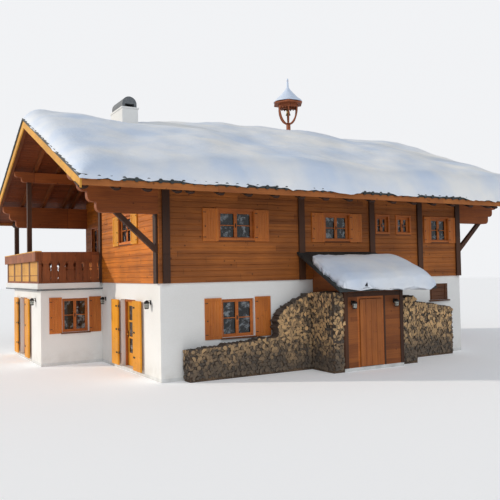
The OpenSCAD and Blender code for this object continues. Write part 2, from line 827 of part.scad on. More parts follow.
// Half section of the bell, with its mouth at bell_h
module bell_outline() {
    polygon([[0, 0], [bell_r * 0.45, 0], [bell_r * 0.62, bell_h * 0.2], [bell_r * 0.7, bell_h * 0.6],
        [bell_r, bell_h], [bell_r - bell_wall, bell_h], [bell_r * 0.7 - bell_wall, bell_h * 0.6],
        [bell_r * 0.45, bell_h * 0.3], [0, bell_h * 0.16]]);
}

// Porch
porch_slope = (porch_top_z - porch_eave_z) / porch_roof_d;
function porch_z(y) = porch_top_z + porch_slope * y;
porch_left = 4410;
porch_right_top = 7450;
porch_right_eave = 8100;

// Depth at which the porch meets the boarding of the house
porch_back = -board_out - seat;
function porch_under(y) = porch_z(y) - porch_roof_t - seat;
module porch_side(x) {
    translate([x, 0, 0]) rotate([90, 0, 90]) linear_extrude(porch_t)
        polygon([[-porch_d, slab_t], [0, slab_t], [0, timber_base], [porch_back, timber_base],
            [porch_back, porch_under(porch_back)], [-porch_d, porch_under(-porch_d)]]);
}

module porch_walls() {
    color("saddlebrown") at_house() {
        porch_side(porch_x);
        porch_side(porch_x + porch_l - porch_t);
    }
}

porch_door_x = porch_x + porch_door_in;
module porch_frame() {
    x0 = porch_x + porch_t;
    x1 = porch_x + porch_l - porch_t;
    color("sienna") at_house() {
        block([x0, -porch_d, slab_t], [porch_door_x, porch_t - porch_d, porch_door_top - seat]);
        block([porch_door_x + porch_door_w, -porch_d, slab_t],
            [x1, porch_t - porch_d, porch_door_top - seat]);
        translate([x0, 0, 0]) rotate([90, 0, 90]) linear_extrude(x1 - x0)
            polygon([[-porch_d, porch_door_top], [porch_t - porch_d, porch_door_top],
                [porch_t - porch_d, porch_under(porch_t - porch_d)], [-porch_d, porch_under(-porch_d)]]);
    }
}

module porch_plan() {
    polygon([[porch_left, -porch_roof_d], [porch_right_eave, -porch_roof_d],
        [porch_right_top, porch_back], [porch_left, porch_back]]);
}

// Porch roof: a board that slopes down from the house, let in round the posts
module porch_roof() {
    y0 = -porch_roof_d - cut;
    color("darkslategray") at_house() difference() {
        intersection() {
            linear_extrude(ridge_z) porch_plan();
            translate([porch_left - cut, 0, 0]) rotate([90, 0, 90])
                linear_extrude(porch_right_eave - porch_left + 2 * cut)
                polygon([[y0, porch_z(y0)], [0, porch_z(0)], [0, porch_z(0) - porch_roof_t],
                    [y0, porch_z(y0) - porch_roof_t]]);
        }
        for (x = post_rows)
            block([x - seat, -post_face - seat, masonry_top], [x + post_w + seat, 0, ridge_z]);
    }
}

porch_snow_back = 640;
porch_lean = (porch_right_eave - porch_right_top) / porch_roof_d;
// Setbacks of the porch snow from the roof's left, right and front edges, how far its
// left, right, front and back rims round off, and its depth at the left as a share
porch_snow_in = [150, 40, 20];
porch_snow_rims = [450, 380, 260, 600];
porch_snow_low = 0.55;
module snow_caps() {
    steps = 12;
    rims = porch_snow_rims;
    x0 = porch_left + porch_snow_in[0];
    x1 = porch_right_eave - porch_snow_in[1];
    y0 = -porch_roof_d + porch_snow_in[2];
    y1 = -porch_snow_back;
    xs = [for (i = [0:steps]) x0 + (x1 - x0) * (0.5 - cos(180 * i / steps) / 2)];
    ys = [for (j = [0:steps]) y0 + (y1 - y0) * (0.5 - cos(180 * j / steps) / 2)];
    rise = [for (x = xs) porch_snow_low + (1 - porch_snow_low) * (x - x0) / (x1 - x0)];
    color("snow") at_house() {
        quilt(xs, ys, [for (y = ys) porch_z(y) + seat], [for (i = [0:steps]) [for (y = ys)
            porch_z(y) + seat + snow_edge + porch_snow_t * rise[i] * swell(xs[i], y)
            * min(ease(xs[i] - x0, rims[0]), ease(x1 - xs[i], rims[1]))
            * min(ease(y - y0, rims[2]), ease(y1 - y, rims[3]))]], porch_lean);
        turret_snow();
    }
}

// Hinge pin on its plate, and the knuckle that turns on it
knuckle_r = 16;
knuckle_h = 60;
knuckle_levels = [350, 1070, 1790];
// A pin's plate lies this far below its knuckle
plate_under = 12;
plate_over = 2;
module pin(z) {
    translate([0, 0, z - plate_under]) cylinder(r = pin_r, h = knuckle_h + plate_under + 5);
    translate([0, 0, z - plate_under]) cylinder(r = pin_r + 2, h = plate_under - plate_over);
}

module knuckle(z) {
    difference() {
        translate([0, 0, z]) cylinder(r = knuckle_r, h = knuckle_h);
        translate([0, 0, z - cut]) cylinder(r = pin_r + pin_gap, h = knuckle_h + 2 * cut);
    }
}

// Shutter leaf that starts at its pin on the origin and runs along +y, face toward -x.
// Its strap lies against the boards and carries the knuckle.
shutter_rise = 20;
shutter_z = slab_t + shutter_rise;
shutter_h = french_top - shutter_z - shutter_rise;
shutter_w = french_w / 2 - 12;
pin_off = shutter_off + shutter_t / 2;
// Room for a knuckle in the leaf, beside it and above and below it
knuckle_room = [16, 30];
// Hinge strap: its thickness, how far it stays clear of the knuckle's ends and of the
// leaf's free edge, and the stretch that bends in to the knuckle
strap_t = 8;
strap_end = 8;
strap_short = 120;
strap_bend = [12, 40];
module shutter_leaf() {
    face = -shutter_t / 2;
    union() {
        difference() {
            block([face, 4, 0], [-face, shutter_w, shutter_h]);
            for (z = knuckle_levels) translate([0, 0, z - knuckle_room[1]])
                cylinder(r = knuckle_r + knuckle_room[0], h = knuckle_h + 2 * knuckle_room[1]);
        }
        for (z = knuckle_levels) {
            z0 = z + strap_end;
            z1 = z + knuckle_h - strap_end;
            knuckle(z);
            block([face - strap_t, strap_bend[0], z0], [face + bite, shutter_w - strap_short, z1]);
            block([face - strap_t, strap_bend[0], z0], [-strap_t, strap_bend[1], z1]);
        }
    }
}

module place_shutter(x, y, side) {
    translate([x - pin_off, y, shutter_z]) mirror([0, side > 0 ? 0 : 1, 0]) children();
}

module gable_shutter_near() {
    color("orange") at_house() place_shutter(0, gable_door_y, -1) shutter_leaf();
}

module gable_shutter_far() {
    color("orange") at_house() place_shutter(0, gable_door_y + french_w, 1) shutter_leaf();
}

module bay_shutter_near() {
    color("orange") at_house() place_shutter(-bay_out, bay_door_y, -1) shutter_leaf();
}

module bay_shutter_far() {
    color("orange") at_house() place_shutter(-bay_out, bay_door_y + french_w, 1) shutter_leaf();
}

// Brackets that carry the shutter pins on the wall beside an opening
bracket_w = 14;
module shutter_pins(x, y, side) {
    for (z = knuckle_levels) translate([x, y, shutter_z]) {
        translate([-pin_off, 0, 0]) pin(z);
        block([-pin_off, min(0, -bracket_w * side), z - plate_under],
            [0, max(0, -bracket_w * side), z - plate_over]);
    }
}

// Glazed door leaf on its knuckles: x from 0 inward, y from its hinge
door_in = portal_in + 60;
leaf_w = french_w - 2 * frame_w - 2 * leaf_gap;
leaf_h = french_top - slab_t - frame_w - 2 * leaf_gap;
stile = 110;
module glazed_leaf() {
    bar = 30;
    base_h = 380;
    light_h = (leaf_h - base_h - stile - 2 * bar) / 3;
    union() {
        difference() {
            block([0, 0, 0], [leaf_t, leaf_w, leaf_h]);
            for (i = [0:2]) block([-cut, stile, base_h + i * (light_h + bar)],
                [leaf_t + cut, leaf_w - stile, base_h + i * (light_h + bar) + light_h]);
        }
        block([leaf_t / 2 - 6, stile - bite, base_h - bite],
            [leaf_t / 2 + 6, leaf_w - stile + bite, leaf_h - stile + bite]);
        handle(leaf_w - stile / 2, -1);
        door_knuckles();
    }
}

// Lever handle on a leaf's outer face at y, with its grip toward side
handle_z = 950;
handle_t = 22;
handle_out = 60;
grip_l = 110;
module handle(y, side) {
    block([-handle_out, y - handle_t / 2, handle_z], [bite, y + handle_t / 2, handle_z + handle_t]);
    block([-handle_out, min(y, y + side * grip_l), handle_z],
        [handle_t / 2 - handle_out, max(y, y + side * grip_l), handle_z + handle_t]);
}

// Knuckles on the inner face of a leaf, on the hinge side
door_levels = [250, 1650];
door_strap = 90;
// Lug that joins a knuckle to its strap: its sides from the knuckle's rim
lug = [-6, 4];
module door_knuckles() {
    for (z = door_levels) {
        translate([leaf_t + knuckle_r, -leaf_gap / 2, 0]) knuckle(z);
        block([leaf_t - bite, knuckle_r / 2, z], [leaf_t + strap_t, door_strap, z + knuckle_h]);
        block([leaf_t - bite, knuckle_r + lug[0], z],
            [leaf_t + knuckle_r + lug[1], knuckle_r + lug[1], z + knuckle_h]);
    }
}

module place_leaf(x, y) {
    translate([x + door_in, y + frame_w + leaf_gap, slab_t + leaf_gap]) children();
}

module gable_door() {
    color("orange") at_house() place_leaf(0, gable_door_y) glazed_leaf();
}

module bay_door() {
    color("orange") at_house() place_leaf(-bay_out, bay_door_y) glazed_leaf();
}

// Two jambs and a head round a door, for an opening along y whose face is at x
module door_case(x, y, w, d, top) {
    block([x, y, slab_t], [x + d, y + frame_w, top]);
    block([x, y + w - frame_w, slab_t], [x + d, y + w, top]);
    block([x, y + frame_w + seat, top - frame_w], [x + d, y + w - frame_w - seat, top]);
}

// Hinge pins on the inner side of a case, with their brackets
bracket_l = 30;
module case_pins(d, pin_x) {
    py = frame_w + leaf_gap / 2;
    for (z = door_levels) translate([0, 0, slab_t + leaf_gap]) {
        translate([pin_x, py, 0]) pin(z);
        block([d - bite, frame_w - bracket_l, z - plate_under], [pin_x, py, z - plate_over]);
    }
}

portal_d = 110;
module portal(x, y, w, top) {
    door_case(x + portal_in, y, w, portal_d, top);
    translate([x + portal_in, y, 0]) case_pins(portal_d, door_in - portal_in + leaf_t + knuckle_r);
}

// Porch door: a leaf of upright planks, hinged on its left
porch_leaf_w = porch_door_w - 2 * frame_w - 2 * leaf_gap;
porch_leaf_h = porch_door_top - slab_t - frame_w - 2 * leaf_gap;
porch_leaf_in = 30;
porch_case_d = porch_leaf_in + leaf_t - 8;
door_planks = 5;
plank_groove = 8;
// Turns what is drawn for a wall along y into one along x that looks toward -y
module to_front() {
    mirror([1, -1, 0]) children();
}

module porch_door() {
    pitch = porch_leaf_w / door_planks;
    color("darkorange") at_house() translate([porch_door_x + frame_w + leaf_gap, porch_leaf_in - porch_d,
        slab_t + leaf_gap]) to_front() union() {
        difference() {
            block([0, 0, 0], [leaf_t, porch_leaf_w, porch_leaf_h]);
            for (i = [1:door_planks - 1]) block([-cut, i * pitch - plank_groove / 2, -cut],
                [plank_groove, i * pitch + plank_groove / 2, porch_leaf_h + cut]);
        }
        handle(porch_leaf_w - door_strap, -1);
        door_knuckles();
    }
}

module door_frames() {
    color("sienna") at_house() {
        portal(0, gable_door_y, french_w, french_top);
        portal(-bay_out, bay_door_y, french_w, french_top);
        shutter_pins(0, gable_door_y, 1);
        shutter_pins(0, gable_door_y + french_w, -1);
        shutter_pins(-bay_out, bay_door_y, 1);
        shutter_pins(-bay_out, bay_door_y + french_w, -1);
        translate([porch_door_x, -porch_d, 0]) to_front() {
            door_case(0, 0, porch_door_w, porch_case_d, porch_door_top);
            case_pins(porch_case_d, porch_leaf_in + leaf_t + knuckle_r);
        }
    }
}

// Width of a window frame's members, and the thickness of its glass. A frame has one
// mullion half as wide, with a light on either side.
sash_bar = 55;
glass_t = 12;
function light_starts(w) = [sash_bar, w / 2 + sash_bar / 4];
function light_w(w) = w / 2 - sash_bar * 1.25;

// Window frame for an opening w wide and h high
module sash(w, h) {
    difference() {
        cube([w, frame_d, h]);
        for (x = light_starts(w)) translate([x, -cut, sash_bar])
            cube([light_w(w), frame_d + 2 * cut, h - 2 * sash_bar]);
    }
}

// The two panes of such a frame
module panes(w, h) {
    for (x = light_starts(w)) translate([x + seat, 0, sash_bar + seat])
        cube([light_w(w) - 2 * seat, glass_t, h - 2 * (sash_bar + seat)]);
}

module windows_x(list, y) {
    for (o = list) translate([o[0], y, o[2]]) sash(o[1], o[3]);
}

module windows_y(list, x) {
    for (o = list) translate([x + frame_d, o[0], o[2]]) rotate([0, 0, 90]) sash(o[1], o[3]);
}

module panes_x(list, y) {
    for (o = list) translate([o[0], y, o[2]]) panes(o[1], o[3]);
}

module panes_y(list, x) {
    for (o = list) translate([x + glass_t, o[0], o[2]]) rotate([0, 0, 90]) panes(o[1], o[3]);
}

// Setback of the frames in the masonry, in the timber front and in the balcony's wall
low_in = 90;
high_in = -board_out + 60;
loggia_frame = loggia_in - 20;
module window_frames() {
    color("peru") at_house() {
        windows_x(front_low, low_in);
        windows_x(back_low, house_w - low_in - frame_d);
        windows_y(right_low, house_l - low_in - frame_d);
        windows_x(bay_front_low, bay_y + low_in);
        windows_x(front_high, high_in);
        windows_x(back_high, house_w - high_in - frame_d);
        windows_y(gable_high, high_in);
        windows_y(right_high, house_l - high_in - frame_d);
        windows_y(loggia_high, loggia_frame);
    }
}

module window_glass() {
    mid = (frame_d - glass_t) / 2;
    color("lightblue") at_house() {
        panes_x(front_low, low_in + mid);
        panes_x(back_low, house_w - low_in - mid - glass_t);
        panes_y(right_low, house_l - low_in - mid - glass_t);
        panes_x(bay_front_low, bay_y + low_in + mid);
        panes_x(front_high, high_in + mid);
        panes_x(back_high, house_w - high_in - mid - glass_t);
        panes_y(gable_high, high_in + mid);
        panes_y(right_high, house_l - high_in - mid - glass_t);
        panes_y(loggia_high, loggia_frame + mid);
    }
}

// Fixed window shutters, laid open against the wall on both sides of an opening. They
// keep a gap beside it, hang below its sill and stand above its head.
side_gap = 20;
sill_under = 30;
head_over = 40;
low_leaf = 520;
high_leaf = 480;
side_leaf = 400;
end_leaf = 320;
hatch_in = 10;
function leaf_starts(o, w) = [o[0] - w - side_gap, o[0] + o[1] + side_gap];
function leaf_tall(o) = o[3] + sill_under + head_over;
module shutter_pair_x(o, y, w) {
    for (x = leaf_starts(o, w)) translate([x, y - shutter_t, o[2] - sill_under])
        cube([w, shutter_t, leaf_tall(o)]);
}

module shutter_pair_y(o, x, w) {
    for (y = leaf_starts(o, w)) translate([x - shutter_t, y, o[2] - sill_under])
        cube([shutter_t, w, leaf_tall(o)]);
}

module to_back() {
    translate([0, house_w, 0]) mirror([0, 1, 0]) children();
}

module to_right() {
    translate([house_l, 0, 0]) mirror([1, 0, 0]) children();
}

// Boards that close the small high window
module hatch(o) {
    block([o[0], hatch_in, o[2]], [o[0] + o[1], hatch_in + shutter_t, o[2] + o[3]]);
}

module window_shutters() {
    color("darkorange") at_house() {
        shutter_pair_x(front_low[0], 0, low_leaf);
        hatch(front_low[1]);
        for (i = [0, 1]) shutter_pair_x(front_high[i], -board_out, high_leaf);
        shutter_pair_x(front_high[4], -board_out, end_leaf);
        shutter_pair_x(bay_front_low[0], bay_y, side_leaf);
        shutter_pair_y(gable_high[0], -board_out, low_leaf);
        shutter_pair_y(loggia_high[0], loggia_in - board_t, side_leaf);
        for (o = back_low) to_back() shutter_pair_x(o, 0, low_leaf);
        for (o = back_high) to_back() shutter_pair_x(o, -board_out, high_leaf);
        for (o = right_low) to_right() shutter_pair_y(o, 0, low_leaf);
        for (o = right_high) to_right() shutter_pair_y(o, -board_out, low_leaf);
    }
}

// Balcony
module balcony_posts() {
    x = rail_x0 + newel + seat;
    half = balcony_post / 2;
    middle = purlin_top(middle_rows[1]) - purlin_logs * purlin_h - seat;
    rear = plate_top - back_logs * log_h - seat;
    color("saddlebrown") at_house() {
        block([x, middle_rows[1] - half, balcony_top], [x + balcony_post, middle_rows[1] + half, middle]);
        block([x, house_w - plate_y - half, balcony_top],
            [x + balcony_post, house_w - plate_y + half, rear]);
    }
}

// Balustrade lines: sills below, flower boxes above, and sawn boards between them
sill_h = 60;
rail_y0 = bay_y - balcony_out + 40;
rail_y1 = house_w + balcony_back - 70;
rail_x0 = -bay_out - balcony_out + 40;
board_z0 = balcony_top + sill_h;
board_z1 = balcony_top + rail_h - box_h;

// Sawn board: a long lobe, a round one and a small notch bite into each edge
lobe_r = 40;
notch_r = 24;
// Gap between two sawn boards, gap between two side panels, and the boards' setback
board_gap = 12;
panel_gap = 8;
board_in = 20;
module sawn_board() {
    w = baluster_pitch - board_gap;
    h = board_z1 - board_z0;
    linear_extrude(baluster_t) difference() {
        translate([-w / 2, 0]) square([w, h]);
        for (x = [-w / 2, w / 2]) translate([x, 0]) {
            translate([0, h * 0.86]) circle(lobe_r);
            translate([-lobe_r, h * 0.74]) square([2 * lobe_r, h * 0.12]);
            translate([0, h * 0.74]) circle(lobe_r);
            translate([0, h * 0.58]) circle(lobe_r * 0.9);
            translate([0, h * 0.15]) circle(notch_r);
        }
    }
}

// A row of sawn boards along x between two ends
module board_row(x0, x1) {
    n = floor((x1 - x0) / baluster_pitch);
    start = (x0 + x1 - (n - 1) * baluster_pitch) / 2;
    for (i = [0:n - 1]) translate([start + i * baluster_pitch, baluster_t, board_z0])
        rotate([90, 0, 0]) sawn_board();
}

module balustrade() {
    panels = 4;
    run = rail_y1 - rail_y0 - 2 * newel - 2 * seat;
    color("sienna") at_house() {
        translate([0, rail_y0 + board_in, 0]) board_row(rail_x0 + newel, -post_face);
        translate([0, rail_y1 - board_in - baluster_t, 0]) board_row(rail_x0 + newel, balcony_end - newel);
        block([balcony_end - board_in - baluster_t, house_w + board_out, board_z0],
            [balcony_end - board_in, rail_y1 - newel - seat, board_z1]);
        for (i = [0:panels - 1]) translate([rail_x0 + board_in, rail_y0 + newel + seat + i * run / panels, 0])
            block([0, 0, board_z0], [baluster_t, run / panels - panel_gap, board_z1]);
    }
}

// Sills, corner newels and flower boxes of the balustrade
newel = 90;
module balcony_rail() {
    z0 = balcony_top;
    z1 = balcony_top + rail_h;
    color("sienna") at_house() union() {
        block([rail_x0, rail_y0, z0], [-post_face, rail_y0 + newel, board_z0]);
        block([rail_x0, rail_y0, z0], [rail_x0 + newel, rail_y1, board_z0]);
        block([rail_x0, rail_y1 - newel, z0], [balcony_end, rail_y1, board_z0]);
        block([balcony_end - newel, house_w + board_out, z0], [balcony_end, rail_y1, board_z0]);
        block([balcony_end - newel, house_w + board_out, board_z1], [balcony_end, rail_y1 - box_d, z1]);
        for (p = [[rail_x0, rail_y0], [rail_x0, rail_y1 - newel], [balcony_end - newel, rail_y1 - newel]])
            block([p[0], p[1], z0], [p[0] + newel, p[1] + newel, z1 - box_h + bite]);
        difference() {
            union() {
                block([rail_x0 + newel - box_d, rail_y0, board_z1], [-post_face, rail_y0 + box_d, z1]);
                block([rail_x0 + newel - box_d, rail_y0, board_z1], [rail_x0 + newel, rail_y1, z1]);
                block([rail_x0 + newel - box_d, rail_y1 - box_d, board_z1], [balcony_end, rail_y1, z1]);
            }
            box_hollow([rail_x0 + newel - box_d, rail_y0], [-post_face, rail_y0 + box_d]);
            box_hollow([rail_x0 + newel - box_d, rail_y0 + box_d], [rail_x0 + newel, rail_y1 - box_d]);
            box_hollow([rail_x0 + newel - box_d, rail_y1 - box_d], [balcony_end, rail_y1]);
        }
    }
}

// Trough of a flower box
module box_hollow(from, to) {
    wall = 25;
    block([from[0] + wall, from[1] + wall, board_z1 + wall],
        [to[0] - wall, to[1] - wall, balcony_top + rail_h + cut]);
}

// Wall lantern: a plate on the wall, an arm, a six-sided glass and a cap over it
plate = [90, 20, 120];
arm = 24;
arm_z = 20;
arm_l = 120;
glass_r = 60;
glass_h = 170;
lamp_cap_r = [85, 15];
lamp_cap_h = 80;
module lantern(x, y, z, turn) {
    translate([x, y, z]) rotate([0, 0, turn]) union() {
        block([-plate[0] / 2, -plate[1], -plate[2] / 2], [plate[0] / 2, 0, plate[2] / 2]);
        block([-arm / 2, -arm_l, arm_z], [arm / 2, bite - plate[1], arm_z + arm]);
        translate([0, -arm_l, arm_z - glass_h]) cylinder(r = glass_r, h = glass_h, $fn = 6);
        translate([0, -arm_l, arm_z - bite]) cylinder(r1 = lamp_cap_r[0], r2 = lamp_cap_r[1], h = lamp_cap_h);
    }
}

lamp_z = 2100;
porch_lamp_z = 1950;
module lanterns() {
    color("black") at_house() {
        for (y = [700, bay_y - 450]) lantern(0, y, lamp_z, -90);
        lantern(-bay_out, bay_y + 800, lamp_z, -90);
        for (x = [porch_x + 300, porch_x + porch_l - 350]) lantern(x, -porch_d, porch_lamp_z, 0);
    }
}

// Firewood stacked against the house and along both sides of the porch
stack_d = 380;
// Outlines of the stacks against the wall, from the porch's corners outward
stack_left = [[0, 0], [0, 2220], [320, 2090], [720, 1930], [1020, 1720], [1140, 1560], [1140, 1010],
    [1520, 990], [2820, 880], [3970, 800], [3970, 0]];
stack_right = [[0, 0], [0, 1850], [700, 1800], [1600, 1680], [2300, 1600], [2500, 1520], [2500, 0]];
// Length of the block of wood to the right of the porch
porch_wood_l = 750;
// Fronts and tops of the two blocks of wood beside the porch
porch_wood = [[-1480, 2240], [-1300, 2000]];
// Gap between the stacks and the house, which leaves room for the shutters
wood_gap = 45;
module wall_stack(outline) {
    rotate([90, 0, 0]) linear_extrude(stack_d) polygon(outline);
}

module firewood() {
    left = porch_x - stack_d;
    right = porch_x + porch_l;
    color("tan") at_house() {
        union() {
            translate([left, -wood_gap, 0]) mirror([1, 0, 0]) wall_stack(stack_left);
            block([left, porch_wood[0][0], 0], [porch_x, -wood_gap, porch_wood[0][1]]);
        }
        union() {
            translate([right + porch_wood_l, -wood_gap, 0]) wall_stack(stack_right);
            block([right, porch_wood[1][0], 0], [right + porch_wood_l + bite, -wood_gap, porch_wood[1][1]]);
        }
    }
}

floor_slab();
front_wall();
gable_wall();
bay_wall();
back_wall();
right_wall();
door_lintels();
upper_floor();
balcony_slab();
upper_front_wall();
upper_back_wall();
upper_gable_wall();
loggia_wall();
upper_right_wall();
log_boarding();
facade_posts();
plate_logs();
purlins();
rafters();
roof_deck();
roof_tiles();
barge_boards();
fascias();
roof_snow();
balcony_posts();
balustrade();
balcony_rail();
chimney();
chimney_cap();
bell_turret();
turret_roof();
bell();
porch_walls();
porch_frame();
porch_roof();
snow_caps();
porch_door();
gable_door();
bay_door();
gable_shutter_near();
gable_shutter_far();
bay_shutter_near();
bay_shutter_far();
door_frames();
window_frames();
window_glass();
window_shutters();
lanterns();
firewood();
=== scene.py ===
"""Looks of an alpine chalet: finishes, fittings, snow, stacked wood, light and camera.

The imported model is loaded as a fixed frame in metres: +X runs along the ridge, +Y from
the porch front to the back, +Z up. The origin is the centre of the main house's
footprint on the ground.
"""

import functools
import logging
import math
import random
from dataclasses import dataclass
from enum import Enum
from typing import Callable, ClassVar, Iterable, Sequence

import bmesh
import bpy
import numpy as np
from mathutils import Matrix, Vector, noise
from mathutils.bvhtree import BVHTree


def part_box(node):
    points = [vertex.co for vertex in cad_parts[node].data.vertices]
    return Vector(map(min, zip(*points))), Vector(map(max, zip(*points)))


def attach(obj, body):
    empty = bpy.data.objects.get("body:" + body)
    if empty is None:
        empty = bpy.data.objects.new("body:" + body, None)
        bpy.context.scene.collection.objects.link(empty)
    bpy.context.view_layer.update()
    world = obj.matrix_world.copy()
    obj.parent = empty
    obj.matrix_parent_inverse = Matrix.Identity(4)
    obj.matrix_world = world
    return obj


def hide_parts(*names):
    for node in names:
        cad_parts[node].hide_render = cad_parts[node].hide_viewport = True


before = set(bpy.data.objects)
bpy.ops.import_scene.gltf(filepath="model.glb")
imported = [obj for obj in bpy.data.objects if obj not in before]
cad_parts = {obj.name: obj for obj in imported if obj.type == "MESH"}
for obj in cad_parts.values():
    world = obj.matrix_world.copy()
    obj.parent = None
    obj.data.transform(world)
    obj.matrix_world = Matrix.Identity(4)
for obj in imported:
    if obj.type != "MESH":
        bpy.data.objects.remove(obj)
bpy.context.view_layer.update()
LOG = logging.getLogger("chalet")

HOUSE = "house"
X, Y, Z = Vector((1, 0, 0)), Vector((0, 1, 0)), Vector((0, 0, 1))
SUNK = 0.002  # how deep a fitting sits in what it lies on

Socket = bpy.types.NodeSocket
Value = Socket | float
Shade = tuple[int, int, int]
Colour = tuple[float, float, float, float]
Span = tuple[float, float]
Box = tuple[Vector, Vector]


# Colours and node trees


def tone(shade: Shade) -> Colour:
    """Turn a colour as seen on a screen, 0 to 255, into linear light."""
    shares = [channel / 255 for channel in shade]
    return (*(s / 12.92 if s <= 0.04045 else ((s + 0.055) / 1.055) ** 2.4 for s in shares), 1.0)


def darker(colour: Colour, share: float) -> Colour:
    """Keep a share of a colour's light."""
    return (*(share * channel for channel in colour[:3]), 1.0)


class Graph:
    """Adds and links the nodes of one tree."""

    def __init__(self, tree: bpy.types.NodeTree) -> None:
        """Keep the tree to work on."""
        self.tree = tree

    def feed(self, node: bpy.types.Node, inputs: dict) -> None:
        """Give a node its inputs.

        Args:
            node: The node.
            inputs: Values or sockets by input name or number.
        """
        for key, value in inputs.items():
            if isinstance(value, Socket):
                self.tree.links.new(value, node.inputs[key])
            else:
                node.inputs[key].default_value = value

    def add(self, kind: str, inputs: dict | None = None, **settings) -> bpy.types.Node:
        """Add a node.

        Args:
            kind: The node's type name.
            inputs: Values or sockets by input name or number.
            settings: Attributes of the node.

        Returns:
            The new node.
        """
        node = self.tree.nodes.new(kind)
        for key, value in settings.items():
            setattr(node, key, value)
        self.feed(node, inputs or {})
        return node

    def first(self, kind: str, inputs: dict | None = None, **settings) -> Socket:
        """Add a node and return its first output."""
        return self.add(kind, inputs, **settings).outputs[0]

    def math(self, operation: str, a: Value, b: Value = 0.0, clamp: bool = False) -> Socket:
        """Add a Math node and return its result."""
        return self.first("ShaderNodeMath", {0: a, 1: b}, operation=operation, use_clamp=clamp)

    def plus(self, a: Value, b: Value) -> Socket:
        """Add two values."""
        return self.math("ADD", a, b)

    def times(self, a: Value, b: Value) -> Socket:
        """Multiply two values."""
        return self.math("MULTIPLY", a, b)

    def spread(self, value: Value, low: float, high: float, to: Span = (0.0, 1.0)) -> Socket:
        """Map a value from one range to another, clamped, and return the result."""
        names = {"Value": value, "From Min": low, "From Max": high, "To Min": to[0], "To Max": to[1]}
        return self.first("ShaderNodeMapRange", names)

    def mix(self, factor: Value, a: Socket | Colour, b: Socket | Colour, blend: str = "MIX") -> Socket:
        """Mix two colours and return the result."""
        node = self.add("ShaderNodeMix", {0: factor, 6: a, 7: b}, data_type="RGBA", blend_type=blend)
        return node.outputs[2]

    def noise(self, vector: Socket, scale: Value, detail: float = 4.0, rough: float = 0.55) -> Socket:
        """Add a noise texture and return its factor."""
        inputs = {"Vector": vector, "Scale": scale, "Detail": detail, "Roughness": rough}
        return self.first("ShaderNodeTexNoise", inputs)

    def axis(self, vector: Socket, name: str) -> Socket:
        """Take one coordinate of a vector."""
        return self.add("ShaderNodeSeparateXYZ", {0: vector}).outputs[name]

    def group(self, tree: bpy.types.NodeTree, **inputs) -> bpy.types.bpy_prop_collection:
        """Add a node group and return its outputs."""
        return self.add("ShaderNodeGroup", inputs, node_tree=tree).outputs


def new_group(name: str, ins: dict, outs: Sequence[str]) -> tuple:
    """Start a shader node group.

    Args:
        name: The group's name.
        ins: Default value of each input by name, where a triple makes a vector.
        outs: Names of the float outputs.

    Returns:
        The group's graph, its inputs as sockets, and its output node.
    """
    tree = bpy.data.node_groups.new(name, "ShaderNodeTree")
    for label, value in ins.items():
        kind = "NodeSocketVector" if isinstance(value, tuple) else "NodeSocketFloat"
        tree.interface.new_socket(label, in_out="INPUT", socket_type=kind).default_value = value
    for label in outs:
        tree.interface.new_socket(label, in_out="OUTPUT", socket_type="NodeSocketFloat")
    return Graph(tree), tree.nodes.new("NodeGroupInput").outputs, tree.nodes.new("NodeGroupOutput")


@functools.cache
def grain_group() -> bpy.types.NodeTree:
    """Make the wood grain: long streaks, knots and the fine relief over them.

    Returns:
        The group.
    """
    graph, ins, end = new_group("wood_grain", {"Vector": (0, 0, 0), "Stretch": (1, 1, 1)},
                                ("Streak", "Knot", "Relief"))
    pulled = graph.first("ShaderNodeVectorMath", {0: ins["Vector"], 1: ins["Stretch"]}, operation="MULTIPLY")
    coarse = graph.first(
        "ShaderNodeTexNoise",
        {"Vector": pulled, "Scale": 1.0, "Detail": 5.0, "Roughness": 0.62, "Distortion": 0.6},
    )
    both = graph.plus(graph.times(coarse, 0.72), graph.times(graph.noise(pulled, 5.0, 3.0), 0.28))
    cells = graph.first("ShaderNodeTexVoronoi", {"Vector": ins["Vector"], "Scale": 3.8, "Randomness": 1.0})
    knot = graph.spread(cells, 0.06, 0.13, (1.0, 0.0))
    graph.feed(end, {"Streak": graph.spread(both, 0.32, 0.68), "Knot": knot, "Relief": both})
    return graph.tree


@functools.cache
def boards_group() -> bpy.types.NodeTree:
    """Make boards in rows: a tone for each board and its butt joints.

    Returns:
        The group.
    """
    graph, ins, end = new_group("board_rows", {"Along": 0.0, "Across": 0.0, "Course": 0.16, "Length": 4.0},
                                ("Tone", "Joint"))
    row = graph.math("FLOOR", graph.math("DIVIDE", ins["Across"], ins["Course"]))
    offset = graph.first("ShaderNodeTexWhiteNoise", {"W": row}, noise_dimensions="1D")
    place = graph.plus(graph.math("DIVIDE", ins["Along"], ins["Length"]), graph.times(offset, 7.0))
    cell = graph.math("FLOOR", place)
    key = graph.first("ShaderNodeCombineXYZ", {"X": row, "Y": cell})
    value = graph.first("ShaderNodeTexWhiteNoise", {"Vector": key}, noise_dimensions="3D")
    joint = graph.math("LESS_THAN", graph.math("SUBTRACT", place, cell), 0.0025)
    graph.feed(end, {"Tone": value, "Joint": joint})
    return graph.tree


